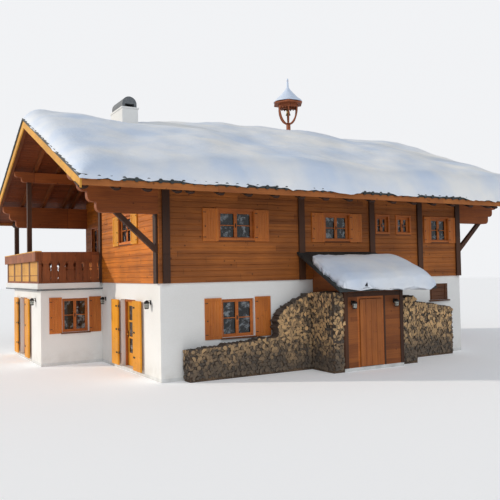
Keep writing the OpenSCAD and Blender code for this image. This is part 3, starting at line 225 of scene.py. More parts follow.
@functools.cache
def weather_group() -> bpy.types.NodeTree:
    """Make weathering: broad patches, fine speckle, and dirt splashed up from the ground.

    Returns:
        The group.
    """
    graph, ins, end = new_group("weathering", {"Vector": (0, 0, 0), "Scale": 1.0, "Splash": 0.5},
                                ("Patch", "Speckle", "Splash"))
    vector = ins["Vector"]
    broad = graph.first("ShaderNodeTexNoise", {"Vector": vector, "Scale": ins["Scale"], "Detail": 5.0})
    height = graph.math("DIVIDE", graph.axis(vector, "Z"), ins["Splash"])
    low = graph.math("SUBTRACT", 1.0, height, clamp=True)
    speckle = graph.spread(graph.noise(vector, 34.0, 2.0), 0.35, 0.65)
    ragged = graph.times(low, graph.spread(graph.noise(vector, 3.5), 0.3, 0.7))
    graph.feed(end, {"Patch": graph.spread(broad, 0.35, 0.65), "Speckle": speckle, "Splash": ragged})
    return graph.tree


# Finishes


@dataclass(frozen=True)
class Finish:
    """A finish, which makes one material. Its colours are as seen on a screen.

    Attributes:
        name: The material's name.
    """

    name: str

    def paint(self, graph: Graph, spot: Socket) -> tuple[dict, tuple | None]:
        """Lay out the finish: the shader's inputs by name, and the relief's three values."""
        raise NotImplementedError

    @functools.cached_property
    def material(self) -> bpy.types.Material:
        """Make the material once.

        Returns:
            The material.
        """
        material = bpy.data.materials.new(self.name)
        material.use_nodes = True
        graph = Graph(material.node_tree)
        inputs, relief = self.paint(graph, graph.add("ShaderNodeTexCoord").outputs["Object"])
        if relief:
            bump = dict(zip(("Height", "Distance", "Strength"), relief))
            inputs["Normal"] = graph.first("ShaderNodeBump", bump)
        graph.feed(material.node_tree.nodes["Principled BSDF"], inputs)
        return material


class Run(Enum):
    """Which way the boards of a piece run: along, across, and the stretch of the grain."""

    LEVEL = ((1, 1, 0), (0, 0, 1), (1.1, 1.1, 26.0))
    UPRIGHT = ((0, 0, 1), (1, 1, 0), (26.0, 26.0, 1.1))
    RIDGE = ((1, 0, 0), (0, 1, 0), (1.0, 22.0, 22.0))
    SLOPE = ((0, 1, 0), (1, 0, 0), (26.0, 1.1, 9.0))


@dataclass(frozen=True)
class Timber(Finish):
    """Stained wood in boards.

    Attributes:
        light: Colour of the pale grain.
        dark: Colour of the dark grain.
        run: Which way the boards run.
        course: Width of one board in metres.
        length: Length of one board in metres.
        contrast: How far boards differ from each other, 0 to 1.
        roughness: Roughness of the stain.
        coat: Weight of the varnish.
        knots: Strength of the knots, 0 to 1.
        painted_sunlight: Painted sunlight: how far the faces turned to -X, where the sun falls, are painted
            lighter and golden, 0 to 1.
        golden: What its colour is multiplied by there.
    """

    light: Shade
    dark: Shade
    run: Run
    course: float = 0.16
    length: float = 4.2
    contrast: float = 0.45
    roughness: float = 0.6
    coat: float = 0.0
    knots: float = 0.85
    # Painted sunlight: how far the faces turned to -X are painted lighter and golden.
    painted_sunlight: float = 0.0
    golden: ClassVar[Colour] = (1.75, 1.62, 0.62, 1.0)

    def paint(self, graph: Graph, spot: Socket) -> tuple[dict, tuple]:
        """Lay out boards with grain, knots, joints, weather and painted sunlight on the faces turned to -X.

        Args:
            graph: The material's graph.
            spot: Its Object coordinates.

        Returns:
            The shader's inputs by name, and the relief's height, distance and strength.
        """
        along, across = (
            graph.add("ShaderNodeVectorMath", {0: spot, 1: way}, operation="DOT_PRODUCT").outputs["Value"]
            for way in self.run.value[:2]
        )
        grain = graph.group(grain_group(), Vector=spot, Stretch=self.run.value[2])
        rows = graph.group(boards_group(), Along=along, Across=across, Course=self.course, Length=self.length)
        weather = graph.group(weather_group(), Vector=spot, Scale=0.9)
        share = graph.times(rows["Tone"], self.contrast)
        share = graph.plus(share, graph.times(grain["Streak"], 1 - self.contrast))
        colour = graph.mix(share, tone(self.dark), tone(self.light))
        # Painted sunlight: faces turned to -X, the sunlit side, get a lighter, golden copy of the colour.
        if self.painted_sunlight:
            west = graph.axis(graph.add("ShaderNodeNewGeometry").outputs["Normal"], "X")
            sunny = graph.times(graph.spread(west, -0.9, -0.3, (1.0, 0.0)), self.painted_sunlight)
            golden = graph.mix(1.0, colour, self.golden, "MULTIPLY")
            golden.node.clamp_result = True
            colour = graph.mix(sunny, colour, golden)
        deep = darker(tone(self.dark), 0.4)
        for mask, weight in ((weather["Patch"], 0.36), (grain["Knot"], self.knots), (rows["Joint"], 0.7)):
            colour = graph.mix(graph.times(mask, weight), colour, deep)
        relief = graph.math("SUBTRACT", grain["Relief"], graph.times(rows["Joint"], 0.6))
        return {
            "Base Color": colour,
            "Roughness": graph.spread(grain["Streak"], 0, 1, (self.roughness - 0.1, self.roughness + 0.12)),
            "Specular IOR Level": 0.3,
            "Coat Weight": self.coat,
            "Coat Roughness": 0.35,
        }, (relief, 0.006, 1.0)


@dataclass(frozen=True)
class Plaster(Finish):
    """Roughcast render, with a little dirt splashed up from the ground.

    Attributes:
        colour: Colour of the clean render.
        dirt: Colour of the stains.
    """

    colour: Shade
    dirt: Shade

    def paint(self, graph: Graph, spot: Socket) -> tuple[dict, tuple]:
        """Lay out render with stains, trowel marks and grit.

        Args:
            graph: The material's graph.
            spot: Its Object coordinates.

        Returns:
            The shader's inputs by name, and the relief's height, distance and strength.
        """
        dirt = tone(self.dirt)
        weather = graph.group(weather_group(), Vector=spot, Scale=0.7, Splash=0.55)
        patch, splash = graph.times(weather["Patch"], 0.16), graph.times(weather["Splash"], 0.5)
        colour = graph.mix(graph.math("ADD", patch, splash, clamp=True), tone(self.colour), dirt)
        colour = graph.mix(graph.times(weather["Speckle"], 0.07), colour, dirt)
        relief = graph.plus(graph.times(graph.noise(spot, 9.0, 3.0), 0.6), graph.noise(spot, 95.0, 2.0))
        return {"Base Color": colour, "Roughness": 0.92}, (relief, 0.004, 1.0)


@dataclass(frozen=True)
class Snowfall(Finish):
    """Settled snow, painted in patches with warm sunlit white and the blue of shade.

    Attributes:
        sunlit_white: Colour of the patches of painted sunlight.
        shaded_blue: Colour of the patches of painted shade.
    """

    sunlit_white: Shade
    shaded_blue: Shade

    def paint(self, graph: Graph, spot: Socket) -> tuple[dict, tuple]:
        """Lay out snow with patches of painted sunlight and shade, crust and grains.

        Args:
            graph: The material's graph.
            spot: Its Object coordinates.

        Returns:
            The shader's inputs by name, and the relief's height, distance and strength.
        """
        # Painted light: noise patches mix warm sunlit white with the blue of snow in shade.
        painted_light_share = graph.spread(graph.noise(spot, 0.45, 3.0), 0.35, 0.65)
        grains = graph.noise(spot, 160.0, 2.0)
        relief = graph.plus(graph.noise(spot, 7.0, 5.0), graph.times(grains, 0.12))
        return {
            "Base Color": graph.mix(painted_light_share, tone(self.shaded_blue), tone(self.sunlit_white)),
            "Roughness": graph.spread(grains, 0.3, 0.7, (0.55, 0.85)),
        }, (relief, 0.02, 0.6)


@dataclass(frozen=True)
class Tiles(Finish):
    """Dark roof tiles with lichen, or any dark, matt, speckled surface.

    Attributes:
        body: Main colour.
        bloom: Colour of the patches.
        roughness: Roughness of the surface.
    """

    body: Shade
    bloom: Shade
    roughness: float = 0.6

    def paint(self, graph: Graph, spot: Socket) -> tuple[dict, tuple]:
        """Lay out tiles with speckled patches.

        Args:
            graph: The material's graph.
            spot: Its Object coordinates.

        Returns:
            The shader's inputs by name, and the relief's height, distance and strength.
        """
        weather = graph.group(weather_group(), Vector=spot, Scale=2.4)
        share = graph.times(weather["Patch"], weather["Speckle"])
        rough = (self.roughness - 0.12, self.roughness + 0.15)
        return {
            "Base Color": graph.mix(share, tone(self.body), tone(self.bloom)),
            "Roughness": graph.spread(weather["Speckle"], 0, 1, rough),
        }, (graph.noise(spot, 55.0, 3.0), 0.003, 1.0)


@dataclass(frozen=True)
class Iron(Finish):
    """Painted or cast metal with worn, duller patches.

    Attributes:
        colour: Main colour.
        wear: Colour of the worn patches.
        metallic: Share of bare metal.
        roughness: Roughness of the paint.
    """

    colour: Shade
    wear: Shade
    metallic: float = 0.6
    roughness: float = 0.5

    def paint(self, graph: Graph, spot: Socket) -> tuple[dict, tuple]:
        """Lay out metal with rubbed patches.

        Args:
            graph: The material's graph.
            spot: Its Object coordinates.

        Returns:
            The shader's inputs by name, and the relief's height, distance and strength.
        """
        rub = graph.spread(graph.noise(spot, 18.0, 5.0), 0.48, 0.72)
        return {
            "Base Color": graph.mix(rub, tone(self.colour), tone(self.wear)),
            "Metallic": self.metallic,
            "Roughness": graph.spread(rub, 0, 1, (self.roughness, self.roughness + 0.2)),
        }, (graph.noise(spot, 60.0, 3.0), 0.0015, 1.0)


@dataclass(frozen=True)
class Pane(Finish):
    """Window glass over dark rooms, painted with pale reflections, a little wavy.

    Attributes:
        colour: Tint of the glass.
        transmission: Share of the light that passes.
        depth: Brightness of the dark patches against the pale painted reflections.
    """

    colour: Shade
    transmission: float = 0.35
    depth: float = 0.7

    def paint(self, graph: Graph, spot: Socket) -> tuple[dict, tuple]:
        """Lay out glass with painted reflections: pale patches over dark ones.

        Args:
            graph: The material's graph.
            spot: Its Object coordinates.

        Returns:
            The shader's inputs by name, and the relief's height, distance and strength.
        """
        tint = tone(self.colour)
        # Painted reflection: pale patches of the tint over a darker copy of it.
        painted_reflection = graph.spread(graph.noise(spot, 5.5, 4.0, 0.7), 0.5, 0.62)
        return {
            "Base Color": graph.mix(painted_reflection, darker(tint, self.depth), tint),
            "Roughness": 0.04,
            "IOR": 1.45,
            "Transmission Weight": self.transmission,
        }, (graph.noise(spot, 2.2, 1.0), 0.002, 0.35)


@dataclass(frozen=True)
class SplitWood(Finish):
    """Ends of stacked firewood: growth rings, grey low rows and bark at the rim.

    Attributes:
        fresh: Colour of the pale ends.
        grey: Colour of the weathered ends.
        bark: Colour of the bark.
    """

    fresh: Shade
    grey: Shade
    bark: Shade

    def paint(self, graph: Graph, spot: Socket) -> tuple[dict, tuple]:
        """Lay out log ends, each with its own tone.

        Args:
            graph: The material's graph.
            spot: Its Object coordinates.

        Returns:
            The shader's inputs by name, and the relief's height, distance and strength.
        """
        grey, bark = tone(self.grey), tone(self.bark)
        log_tone, core = (
            graph.add("ShaderNodeAttribute", attribute_name=name).outputs["Fac"]
            for name in ("log_tone", "core")
        )
        wobble = graph.times(graph.noise(spot, 26.0, 2.0), 0.35)
        ring = graph.math("SINE", graph.times(graph.plus(core, wobble), 46.0))
        height = graph.plus(graph.axis(spot, "Z"), graph.noise(spot, 1.2, 2.0))
        dry = graph.spread(height, 0.8, 1.7, (0.12, 1.0))
        colour = graph.mix(graph.times(log_tone, dry), grey, tone(self.fresh))
        colour = graph.mix(graph.times(graph.spread(ring, -1, 1), 0.22), colour, bark)
        side = graph.mix(graph.noise(spot, 9.0, 2.0), bark, grey)
        colour = graph.mix(graph.spread(core, 0.86, 0.97), colour, side)
        relief = graph.plus(ring, graph.noise(spot, 70.0))
        return {"Base Color": colour, "Roughness": 0.85}, (relief, 0.0015, 1.0)


@dataclass(frozen=True)
class Paper(Finish):
    """The plain pale floor, which glows a little.

    Attributes:
        light: Colour of the pale patches.
        dark: Colour of the darker patches.
        glow: Strength of the glow.
    """

    light: Shade
    dark: Shade
    glow: float = 0.16

    def paint(self, graph: Graph, spot: Socket) -> tuple[dict, None]:
        """Lay out faint broad patches.

        Args:
            graph: The material's graph.
            spot: Its Object coordinates.

        Returns:
            The shader's inputs by name, and no relief.
        """
        colour = graph.mix(graph.times(graph.noise(spot, 0.3), 0.05), tone(self.light), tone(self.dark))
        glow = {"Emission Color": (1.0, 1.0, 1.0, 1.0), "Emission Strength": self.glow}
        return {"Base Color": colour, "Roughness": 0.9} | glow, None


class Coat(Enum):
    """Every finish of the house by name."""

    # Boards on faces turned to -X get painted sunlight: a lighter, golden colour.
    FRONT_BOARDS = Timber("front_boards", (192, 114, 50), (116, 62, 24), Run.LEVEL, 0.16, 4.6, painted_sunlight=0.9)
    DARK_POSTS = Timber("dark_posts", (92, 56, 34), (50, 29, 18), Run.UPRIGHT, 0.4)
    SILL_WOOD = Timber("sill_wood", (128, 74, 38), (78, 42, 20), Run.LEVEL, 0.4)
    STRIP_WOOD = Timber("strip_wood", (136, 88, 44), (92, 56, 26), Run.UPRIGHT, 0.3)
    # Painted shade: the hatch boards get a darker brown because they stand in shade.
    SHADED_HATCH_WOOD = Timber("shaded_hatch_wood", (112, 68, 40), (70, 40, 22), Run.LEVEL, 0.1)
    # Painted shade: the rafter tails are a much darker copy of the rafter wood, as they hang in shade under
    # the eaves.
    SHADED_TAIL_WOOD = Timber("shaded_tail_wood", (74, 42, 24), (40, 22, 13), Run.SLOPE, 0.5)
    LOG_WOOD = Timber("log_wood", (196, 110, 50), (122, 62, 28), Run.RIDGE, 0.4, 9.0, 0.3)
    SOFFIT = Timber("soffit_boards", (150, 78, 38), (92, 42, 18), Run.RIDGE, 0.14, 3.6)
    RAFTER_WOOD = Timber("rafter_wood", (150, 84, 42), (92, 46, 20), Run.SLOPE, 0.5, 9.0)
    BARGE_BOARDS = Timber("gold_boards", (242, 186, 78), (208, 142, 48), Run.SLOPE, 0.5, 4.5, 0.25)
    FASCIA_WOOD = Timber("fascia_wood", (196, 122, 60), (146, 80, 36), Run.RIDGE, 0.5, 4.0, 0.3)
    # Painted sunlight: a lighter, golden copy of the rail boards for the balcony's sunlit -X side and the
    # flower boxes' rims.
    SUNLIT_GOLD_PANELS = Timber("sunlit_gold_panels", (238, 182, 84), (200, 134, 50), Run.LEVEL, 0.2, 1.4, 0.3)
    RAIL_BOARDS = Timber("rail_boards", (178, 104, 58), (110, 58, 30), Run.UPRIGHT, 0.265, 2.0)
    # Its last number paints the shutters on faces turned to -X lighter and golden, as painted sunlight.
    SHUTTER_WOOD = Timber("shutter_wood", (214, 128, 52), (176, 92, 32), Run.UPRIGHT, 0.1, 3.0,
                          0.25, 0.5, 0.1, 0.2, 0.6)
    # Painted sunlight: a lighter, golden copy of the shutter wood, for the shutters and doors on the sunlit
    # -X side.
    SUNLIT_SHUTTER_WOOD = Timber("sunlit_shutter_wood", (248, 176, 38), (224, 140, 22), Run.UPRIGHT, 0.16, 3.0,
                               0.25, 0.5, 0.1, 0.1)
    DOOR_WOOD = Timber("door_wood", (190, 112, 46), (140, 72, 26), Run.UPRIGHT, 0.17, 3.0,
                       0.35, 0.5, 0.1, 0.3)
    # Its last number paints the frames on faces turned to -X lighter and golden, as painted sunlight.
    FRAME_WOOD = Timber("frame_wood", (206, 120, 52), (160, 82, 32), Run.LEVEL, 0.3, 3.0,
                        0.25, 0.5, 0.1, 0.1, 0.6)
    PORCH_BOARDS = Timber("porch_boards", (174, 102, 48), (112, 58, 26), Run.LEVEL, 0.13)
    TURRET_WOOD = Timber("turret_wood", (178, 100, 60), (108, 58, 36), Run.UPRIGHT, 0.3)
    RENDER_COAT = Plaster("render_coat", (240, 239, 236), (196, 190, 180))
    SLAB_COAT = Plaster("slab_coat", (232, 232, 230), (170, 168, 162))
    ROOF_TILE = Tiles("roof_tile", (24, 28, 30), (52, 60, 58))
    # Painted light: warm sunlit white and the blue of snow in shade, in patches.
    SNOW = Snowfall("snow", (249, 247, 244), (212, 224, 242))
    WROUGHT_IRON = Iron("wrought_iron", (34, 33, 35), (70, 62, 54))
    HOOD_STEEL = Iron("hood_steel", (92, 96, 100), (128, 130, 130), 0.4, 0.55)
    BELL_BRONZE = Iron("bell_bronze", (112, 96, 62), (74, 88, 70), 0.9, 0.4)
    # Painted reflections: pale glass patches among nearly black ones.
    WINDOW_PANE = Pane("window_pane", (152, 158, 162), depth=0.05)
    LAMP_PANE = Pane("lamp_pane", (226, 226, 214))
    LOG_ENDS = SplitWood("log_ends", (246, 200, 142), (92, 84, 76), (60, 44, 34))
    STACK_SHADE = Tiles("stack_shade", (66, 52, 40), (128, 102, 76), 0.8)
    FLOOR_PAPER = Paper("floor_paper", (246, 246, 247), (238, 238, 240))

    @property
    def material(self) -> bpy.types.Material:
        """The finish's material."""
        return self.value.material


# Meshes


def to_mesh(bm: bmesh.types.BMesh, name: str, outward: bool = True) -> bpy.types.Mesh:
    """Turn gathered faces into a mesh, and free them.

    Args:
        bm: The faces.
        name: The mesh's name.
        outward: Whether they are turned to point outward first.

    Returns:
        The mesh.
    """
    if outward:
        bmesh.ops.recalc_face_normals(bm, faces=bm.faces)
    mesh = bpy.data.meshes.new(name)
    bm.to_mesh(mesh)
    bm.free()
    return mesh


def join(meshes: Iterable[bpy.types.Mesh], name: str) -> bpy.types.Mesh:
    """Join meshes into one.

    Args:
        meshes: The meshes, which are used up.
        name: Name of the result.

    Returns:
        The joined mesh.
    """
    bm = bmesh.new()
    for mesh in meshes:
        bm.from_mesh(mesh)
        bpy.data.meshes.remove(mesh)
    return to_mesh(bm, name, outward=False)


def place(name: str, data: bpy.types.ID) -> bpy.types.Object:
    """Put an object in the scene.

    Args:
        name: Its name.
        data: Its mesh, light or camera.

    Returns:
        The object.
    """
    thing = bpy.data.objects.new(name, data)
    bpy.context.scene.collection.objects.link(thing)
    return thing


def evaluated(carrier: bpy.types.Object) -> bpy.types.Mesh:
    """Take the plain mesh that an object's modifiers make, and remove the object.

    Args:
        carrier: The object.

    Returns:
        The plain mesh.
    """
    bpy.context.view_layer.update()
    mesh = bpy.data.meshes.new_from_object(carrier.evaluated_get(bpy.context.evaluated_depsgraph_get()))
    bpy.data.objects.remove(carrier)
    return mesh


def adopt(mesh: bpy.types.Mesh, name: str, coat: Coat, slot: str, bevel: float = 0.0, body: str = HOUSE,
          smooth: bool = False) -> bpy.types.Object:
    """Place a finished mesh in the scene as a piece of the house.

    Args:
        mesh: The mesh, in the frame's coordinates.
        name: The piece's name.
        coat: Its finish.
        slot: Not used.
        bevel: Width of the softened edges in metres.
        body: The body that it rides on.
        smooth: Whether its faces are shaded smooth.

    Returns:
        The piece.
    """
    piece = place(name, mesh)
    mesh.materials.clear()
    mesh.materials.append(coat.material)
    mesh.polygons.foreach_set("use_smooth", [smooth] * len(mesh.polygons))
    if bevel:
        soften = piece.modifiers.new("edges", "BEVEL")
        soften.width = bevel
        soften.limit_method = "ANGLE"
    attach(piece, body)
    LOG.info("piece %s on %s: %d faces", name, body, len(mesh.polygons))
    return piece


def dress(coat: Coat, *nodes: str) -> None:
    """Give nodes of the frame their finish.

    Args:
        coat: The finish.
        nodes: The nodes' names.
    """
    for node in nodes:
        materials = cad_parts[node].data.materials
        materials.clear()
        materials.append(coat.material)


@dataclass(frozen=True)
class Face:
    """A wall face.

    Attributes:
        origin: A corner of the piece on the face.
        along: The way along the face.
        out: The way out of it.
    """

    origin: Vector
    along: Vector
    out: Vector

    def at(self, u: float, n: float, z: float) -> Vector:
        """The point u along the wall, n out of it and z up."""
        return self.origin + self.along * u + self.out * n + Z * z


class Maker:
    """Gathers the vertices and faces of one piece."""

    def __init__(self) -> None:
        """Start an empty piece."""
        self.bm = bmesh.new()

    def loft(self, rings: Iterable[Sequence[Vector]]) -> None:
        """Skin rings that have as many points each, and close both ends.

        Args:
            rings: The rings' points, from one end to the other.
        """
        rows = [[self.bm.verts.new(point) for point in ring] for ring in rings]
        for low, high in zip(rows, rows[1:]):
            for i, start in enumerate(low):
                j = (i + 1) % len(low)
                self.bm.faces.new((start, low[j], high[j], high[i]))
        self.bm.faces.new(rows[0][::-1])
        self.bm.faces.new(rows[-1])

    def box(self, low: Sequence[float], high: Sequence[float]) -> None:
        """Add a block between two corners."""
        size = Vector(high) - Vector(low)
        self.slab(Face(Vector(low), X, Y), (0, size.x), (0, size.y), (0, size.z))

    def slab(self, face: Face, u: Span, n: Span, z: Span) -> None:
        """Add a block on a wall face, with its spans along, out of and up the wall."""
        around = ((u[0], n[0]), (u[1], n[0]), (u[1], n[1]), (u[0], n[1]))
        self.loft([face.at(a, b, level) for a, b in around] for level in z)

    def ring(self, face: Face, u: Span, n: Span, z: Span, side: float, rail: float | None = None) -> None:
        """Add a frame of two stiles and two rails on a wall face.

        Args:
            face: The wall face.
            u: Start and end along the wall.
            n: Start and end out of the wall.
            z: Bottom and top.
            side: Width of a stile.
            rail: Height of a rail, where it isn't the stile's width.
        """
        rail = rail or side
        inner = (u[0] + side, u[1] - side)
        for width, height in (((u[0], inner[0]), z), ((inner[1], u[1]), z),
                              (inner, (z[0], z[0] + rail)), (inner, (z[1] - rail, z[1]))):
            self.slab(face, width, n, height)

    def boards(self, face: Face, u: Span, n: Span, z: Span, count: int, gap: float) -> None:
        """Add upright boards side by side on a wall face.

        Args:
            face: The wall face.
            u: Start and end along the wall.
            n: Start and end out of the wall.
            z: Bottom and top.
            count: Number of boards.
            gap: Width of the joints.
        """
        step = (u[1] - u[0]) / count
        for i in range(count):
            start = u[0] + i * step
            self.slab(face, (start + gap / 2, start + step - gap / 2), n, z)

    def lathe(self, centre: Vector, profile: Sequence[Span], sides: int = 16,
              turn: Matrix | None = None) -> None:
        """Add a closed turned shape.

        Args:
            centre: Where the profile's origin goes.
            profile: Radius and height of each ring, from bottom to top.
            sides: Number of sides.
            turn: Rotation of the axis, upright where left out.
        """
        turn = turn or Matrix.Identity(3)
        angles = [2 * math.pi * i / sides for i in range(sides)]
        self.loft(
            [centre + turn @ Vector((radius * math.cos(a), radius * math.sin(a), height)) for a in angles]
            for radius, height in profile
        )

    def rod(self, start: Vector, end: Vector, radius: float, sides: int = 8) -> None:
        """Add a round rod between two points."""
        way = end - start
        self.lathe(start, [(radius, 0), (radius, way.length)], sides, way.to_track_quat("Z", "Y").to_matrix())

    def finish(self, name: str, coat: Coat, slot: str, bevel: float = 0.0, **options) -> bpy.types.Object:
        """Turn what was gathered into a piece, with the options of adopt."""
        return adopt(to_mesh(self.bm, name), name, coat, slot, bevel, **options)


def solids_of(node: str) -> list[Box]:
    """Find the separate solids of a node.

    Args:
        node: The node's name.

    Returns:
        The lowest and highest corners of each solid, sorted from left to right.
    """
    bm = bmesh.new()
    bm.from_mesh(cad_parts[node].data)
    bmesh.ops.remove_doubles(bm, verts=bm.verts, dist=0.00001)
    found, seen = [], set()
    for first in bm.verts:
        if first in seen:
            continue
        seen.add(first)
        group, waiting = [], [first]
        while waiting:
            vert = waiting.pop()
            group.append(vert.co.copy())
            fresh = {edge.other_vert(vert) for edge in vert.link_edges} - seen
            seen |= fresh
            waiting += fresh
        found.append(tuple(Vector([f(p[k] for p in group) for k in range(3)]) for f in (min, max)))
    bm.free()
    return sorted(found, key=lambda box: [round(value, 3) for value in box[0]])


def outer_face(low: Vector, high: Vector) -> tuple[Face, float, float]:
    """Find the outer wall face of a thin upright piece.

    Args:
        low: Its lowest corner.
        high: Its highest corner.

    Returns:
        The face, whose origin is on the piece's outer side, its width and its depth.
    """
    size = high - low
    if size.x > size.y:
        back = (low.y + high.y) / 2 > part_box("back_wall")[0].y - 0.2
        return Face(Vector((low.x, high.y if back else low.y, low.z)), X, Y if back else -Y), size.x, size.y
    right = low.x + high.x > 0
    return Face(Vector((high.x if right else low.x, low.y, low.z)), Y, X if right else -X), size.y, size.x


def tree_of(*nodes: str) -> BVHTree:
    """Gather nodes' faces for ray casts.

    Args:
        nodes: The nodes' names.

    Returns:
        The tree of faces.
    """
    points, faces = [], []
    for node in nodes:
        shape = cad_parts[node].data
        faces += [[len(points) + i for i in face.vertices] for face in shape.polygons]
        points += [vertex.co.copy() for vertex in shape.vertices]
    return BVHTree.FromPolygons(points, faces)


# Repeats


def new_repeat(name: str, ins: dict[str, str]) -> tuple:
    """Start a Geometry Nodes tree for what repeats.

    Args:
        name: The tree's name.
        ins: Type of each input by name, next to Geometry and Material.

    Returns:
        The tree's graph, and its inputs as sockets.
    """
    tree = bpy.data.node_groups.new(name, "GeometryNodeTree")
    for label, kind in ({"Geometry": "Geometry"} | ins | {"Material": "Material"}).items():
        tree.interface.new_socket(label, in_out="INPUT", socket_type="NodeSocket" + kind)
    tree.interface.new_socket("Geometry", in_out="OUTPUT", socket_type="NodeSocketGeometry")
    return Graph(tree), tree.nodes.new("NodeGroupInput").outputs


def end_repeat(graph: Graph, shapes: Socket, material: Socket) -> bpy.types.NodeTree:
    """End a tree: make its copies real and set their material.

    Args:
        graph: The tree's graph.
        shapes: The copies.
        material: Their material.

    Returns:
        The tree.
    """
    real = graph.first("GeometryNodeRealizeInstances", {0: shapes})
    dressed = graph.first("GeometryNodeSetMaterial", {"Geometry": real, "Material": material})
    graph.add("NodeGroupOutput", {0: dressed})
    return graph.tree


@functools.cache
def row_tree() -> bpy.types.NodeTree:
    """Repeat one piece along a straight line.

    Returns:
        The tree.
    """
    graph, ins = new_repeat("piece_row", {"Count": "Int", "Step": "Vector"})
    line = graph.first("GeometryNodeMeshLine", {"Count": ins["Count"], "Offset": ins["Step"]}, mode="OFFSET")
    copies = graph.first("GeometryNodeInstanceOnPoints", {"Points": line, "Instance": ins["Geometry"]})
    return end_repeat(graph, copies, ins["Material"])


@functools.cache
def pile_tree() -> bpy.types.NodeTree:
    """Put logs on points, turned and sized at random, each with its own tone.

    Returns:
        The tree.
    """
    graph, ins = new_repeat("log_pile", {"Logs": "Collection", "Seed": "Int", "Smallest": "Float",
                                         "Largest": "Float", "Turn": "Vector"})
    seed, lean = {"Seed": ins["Seed"]}, 0.05
    logs = graph.first("GeometryNodeCollectionInfo",
                       {"Collection": ins["Logs"], "Separate Children": True, "Reset Children": True})
    spin = graph.first("FunctionNodeRandomValue",
                       seed | {"Min": (-lean, -lean, 0.0), "Max": (lean, lean, 2 * math.pi)},
                       data_type="FLOAT_VECTOR")
    sizes = seed | {2: ins["Smallest"], 3: ins["Largest"]}
    size, shade = (graph.add("FunctionNodeRandomValue", inputs, data_type="FLOAT").outputs[1]
                   for inputs in (sizes, seed))
    copies = graph.first(
        "GeometryNodeInstanceOnPoints",
        {"Points": ins["Geometry"], "Instance": logs, "Pick Instance": True, "Rotation": ins["Turn"],
         "Scale": size},
    )
    rolled = graph.first("GeometryNodeRotateInstances",
                         {"Instances": copies, "Rotation": spin, "Local Space": True})
    marked = graph.first("GeometryNodeStoreNamedAttribute",
                         {"Geometry": rolled, "Name": "log_tone", "Value": shade},
                         data_type="FLOAT", domain="INSTANCE")
    return end_repeat(graph, marked, ins["Material"])


def run_tree(mesh: bpy.types.Mesh, tree: bpy.types.NodeTree, **values) -> bpy.types.Mesh:
    """Put a mesh through a tree.

    Args:
        mesh: What goes in.
        tree: The tree.
        values: The value of each input by name.

    Returns:
        The finished plain mesh.
    """
    carrier = place("carrier", mesh)
    modifier = carrier.modifiers.new("nodes", "NODES")
    modifier.node_group = tree
    for item in tree.interface.items_tree:
        if item.name in values:
            modifier[item.identifier] = values[item.name]
    return evaluated(carrier)


def row_of(first: Maker, count: int, step: Vector, coat: Coat) -> bpy.types.Mesh:
    """Repeat one shape along a line, at a step from one to the next."""
    return run_tree(to_mesh(first.bm, "first"), row_tree(), Count=count, Step=step, Material=coat.material)


# House parts


@dataclass
class Walls:
    """Walls, floors, posts and logs, which need no more than their finish."""

    def build(self) -> None:
        """Dress the plain nodes."""
        dress(Coat.RENDER_COAT, "front_wall", "gable_wall", "bay_wall", "back_wall", "right_wall",
              "door_lintels", "chimney", "upper_floor")
        dress(Coat.SLAB_COAT, "floor_slab", "balcony_slab")
        dress(Coat.FRONT_BOARDS, "upper_front_wall", "upper_back_wall", "upper_gable_wall", "loggia_wall",
              "upper_right_wall", "log_boarding")
        dress(Coat.DARK_POSTS, "facade_posts", "balcony_posts")
        dress(Coat.LOG_WOOD, "plate_logs", "purlins")
        dress(Coat.PORCH_BOARDS, "porch_walls", "porch_frame")


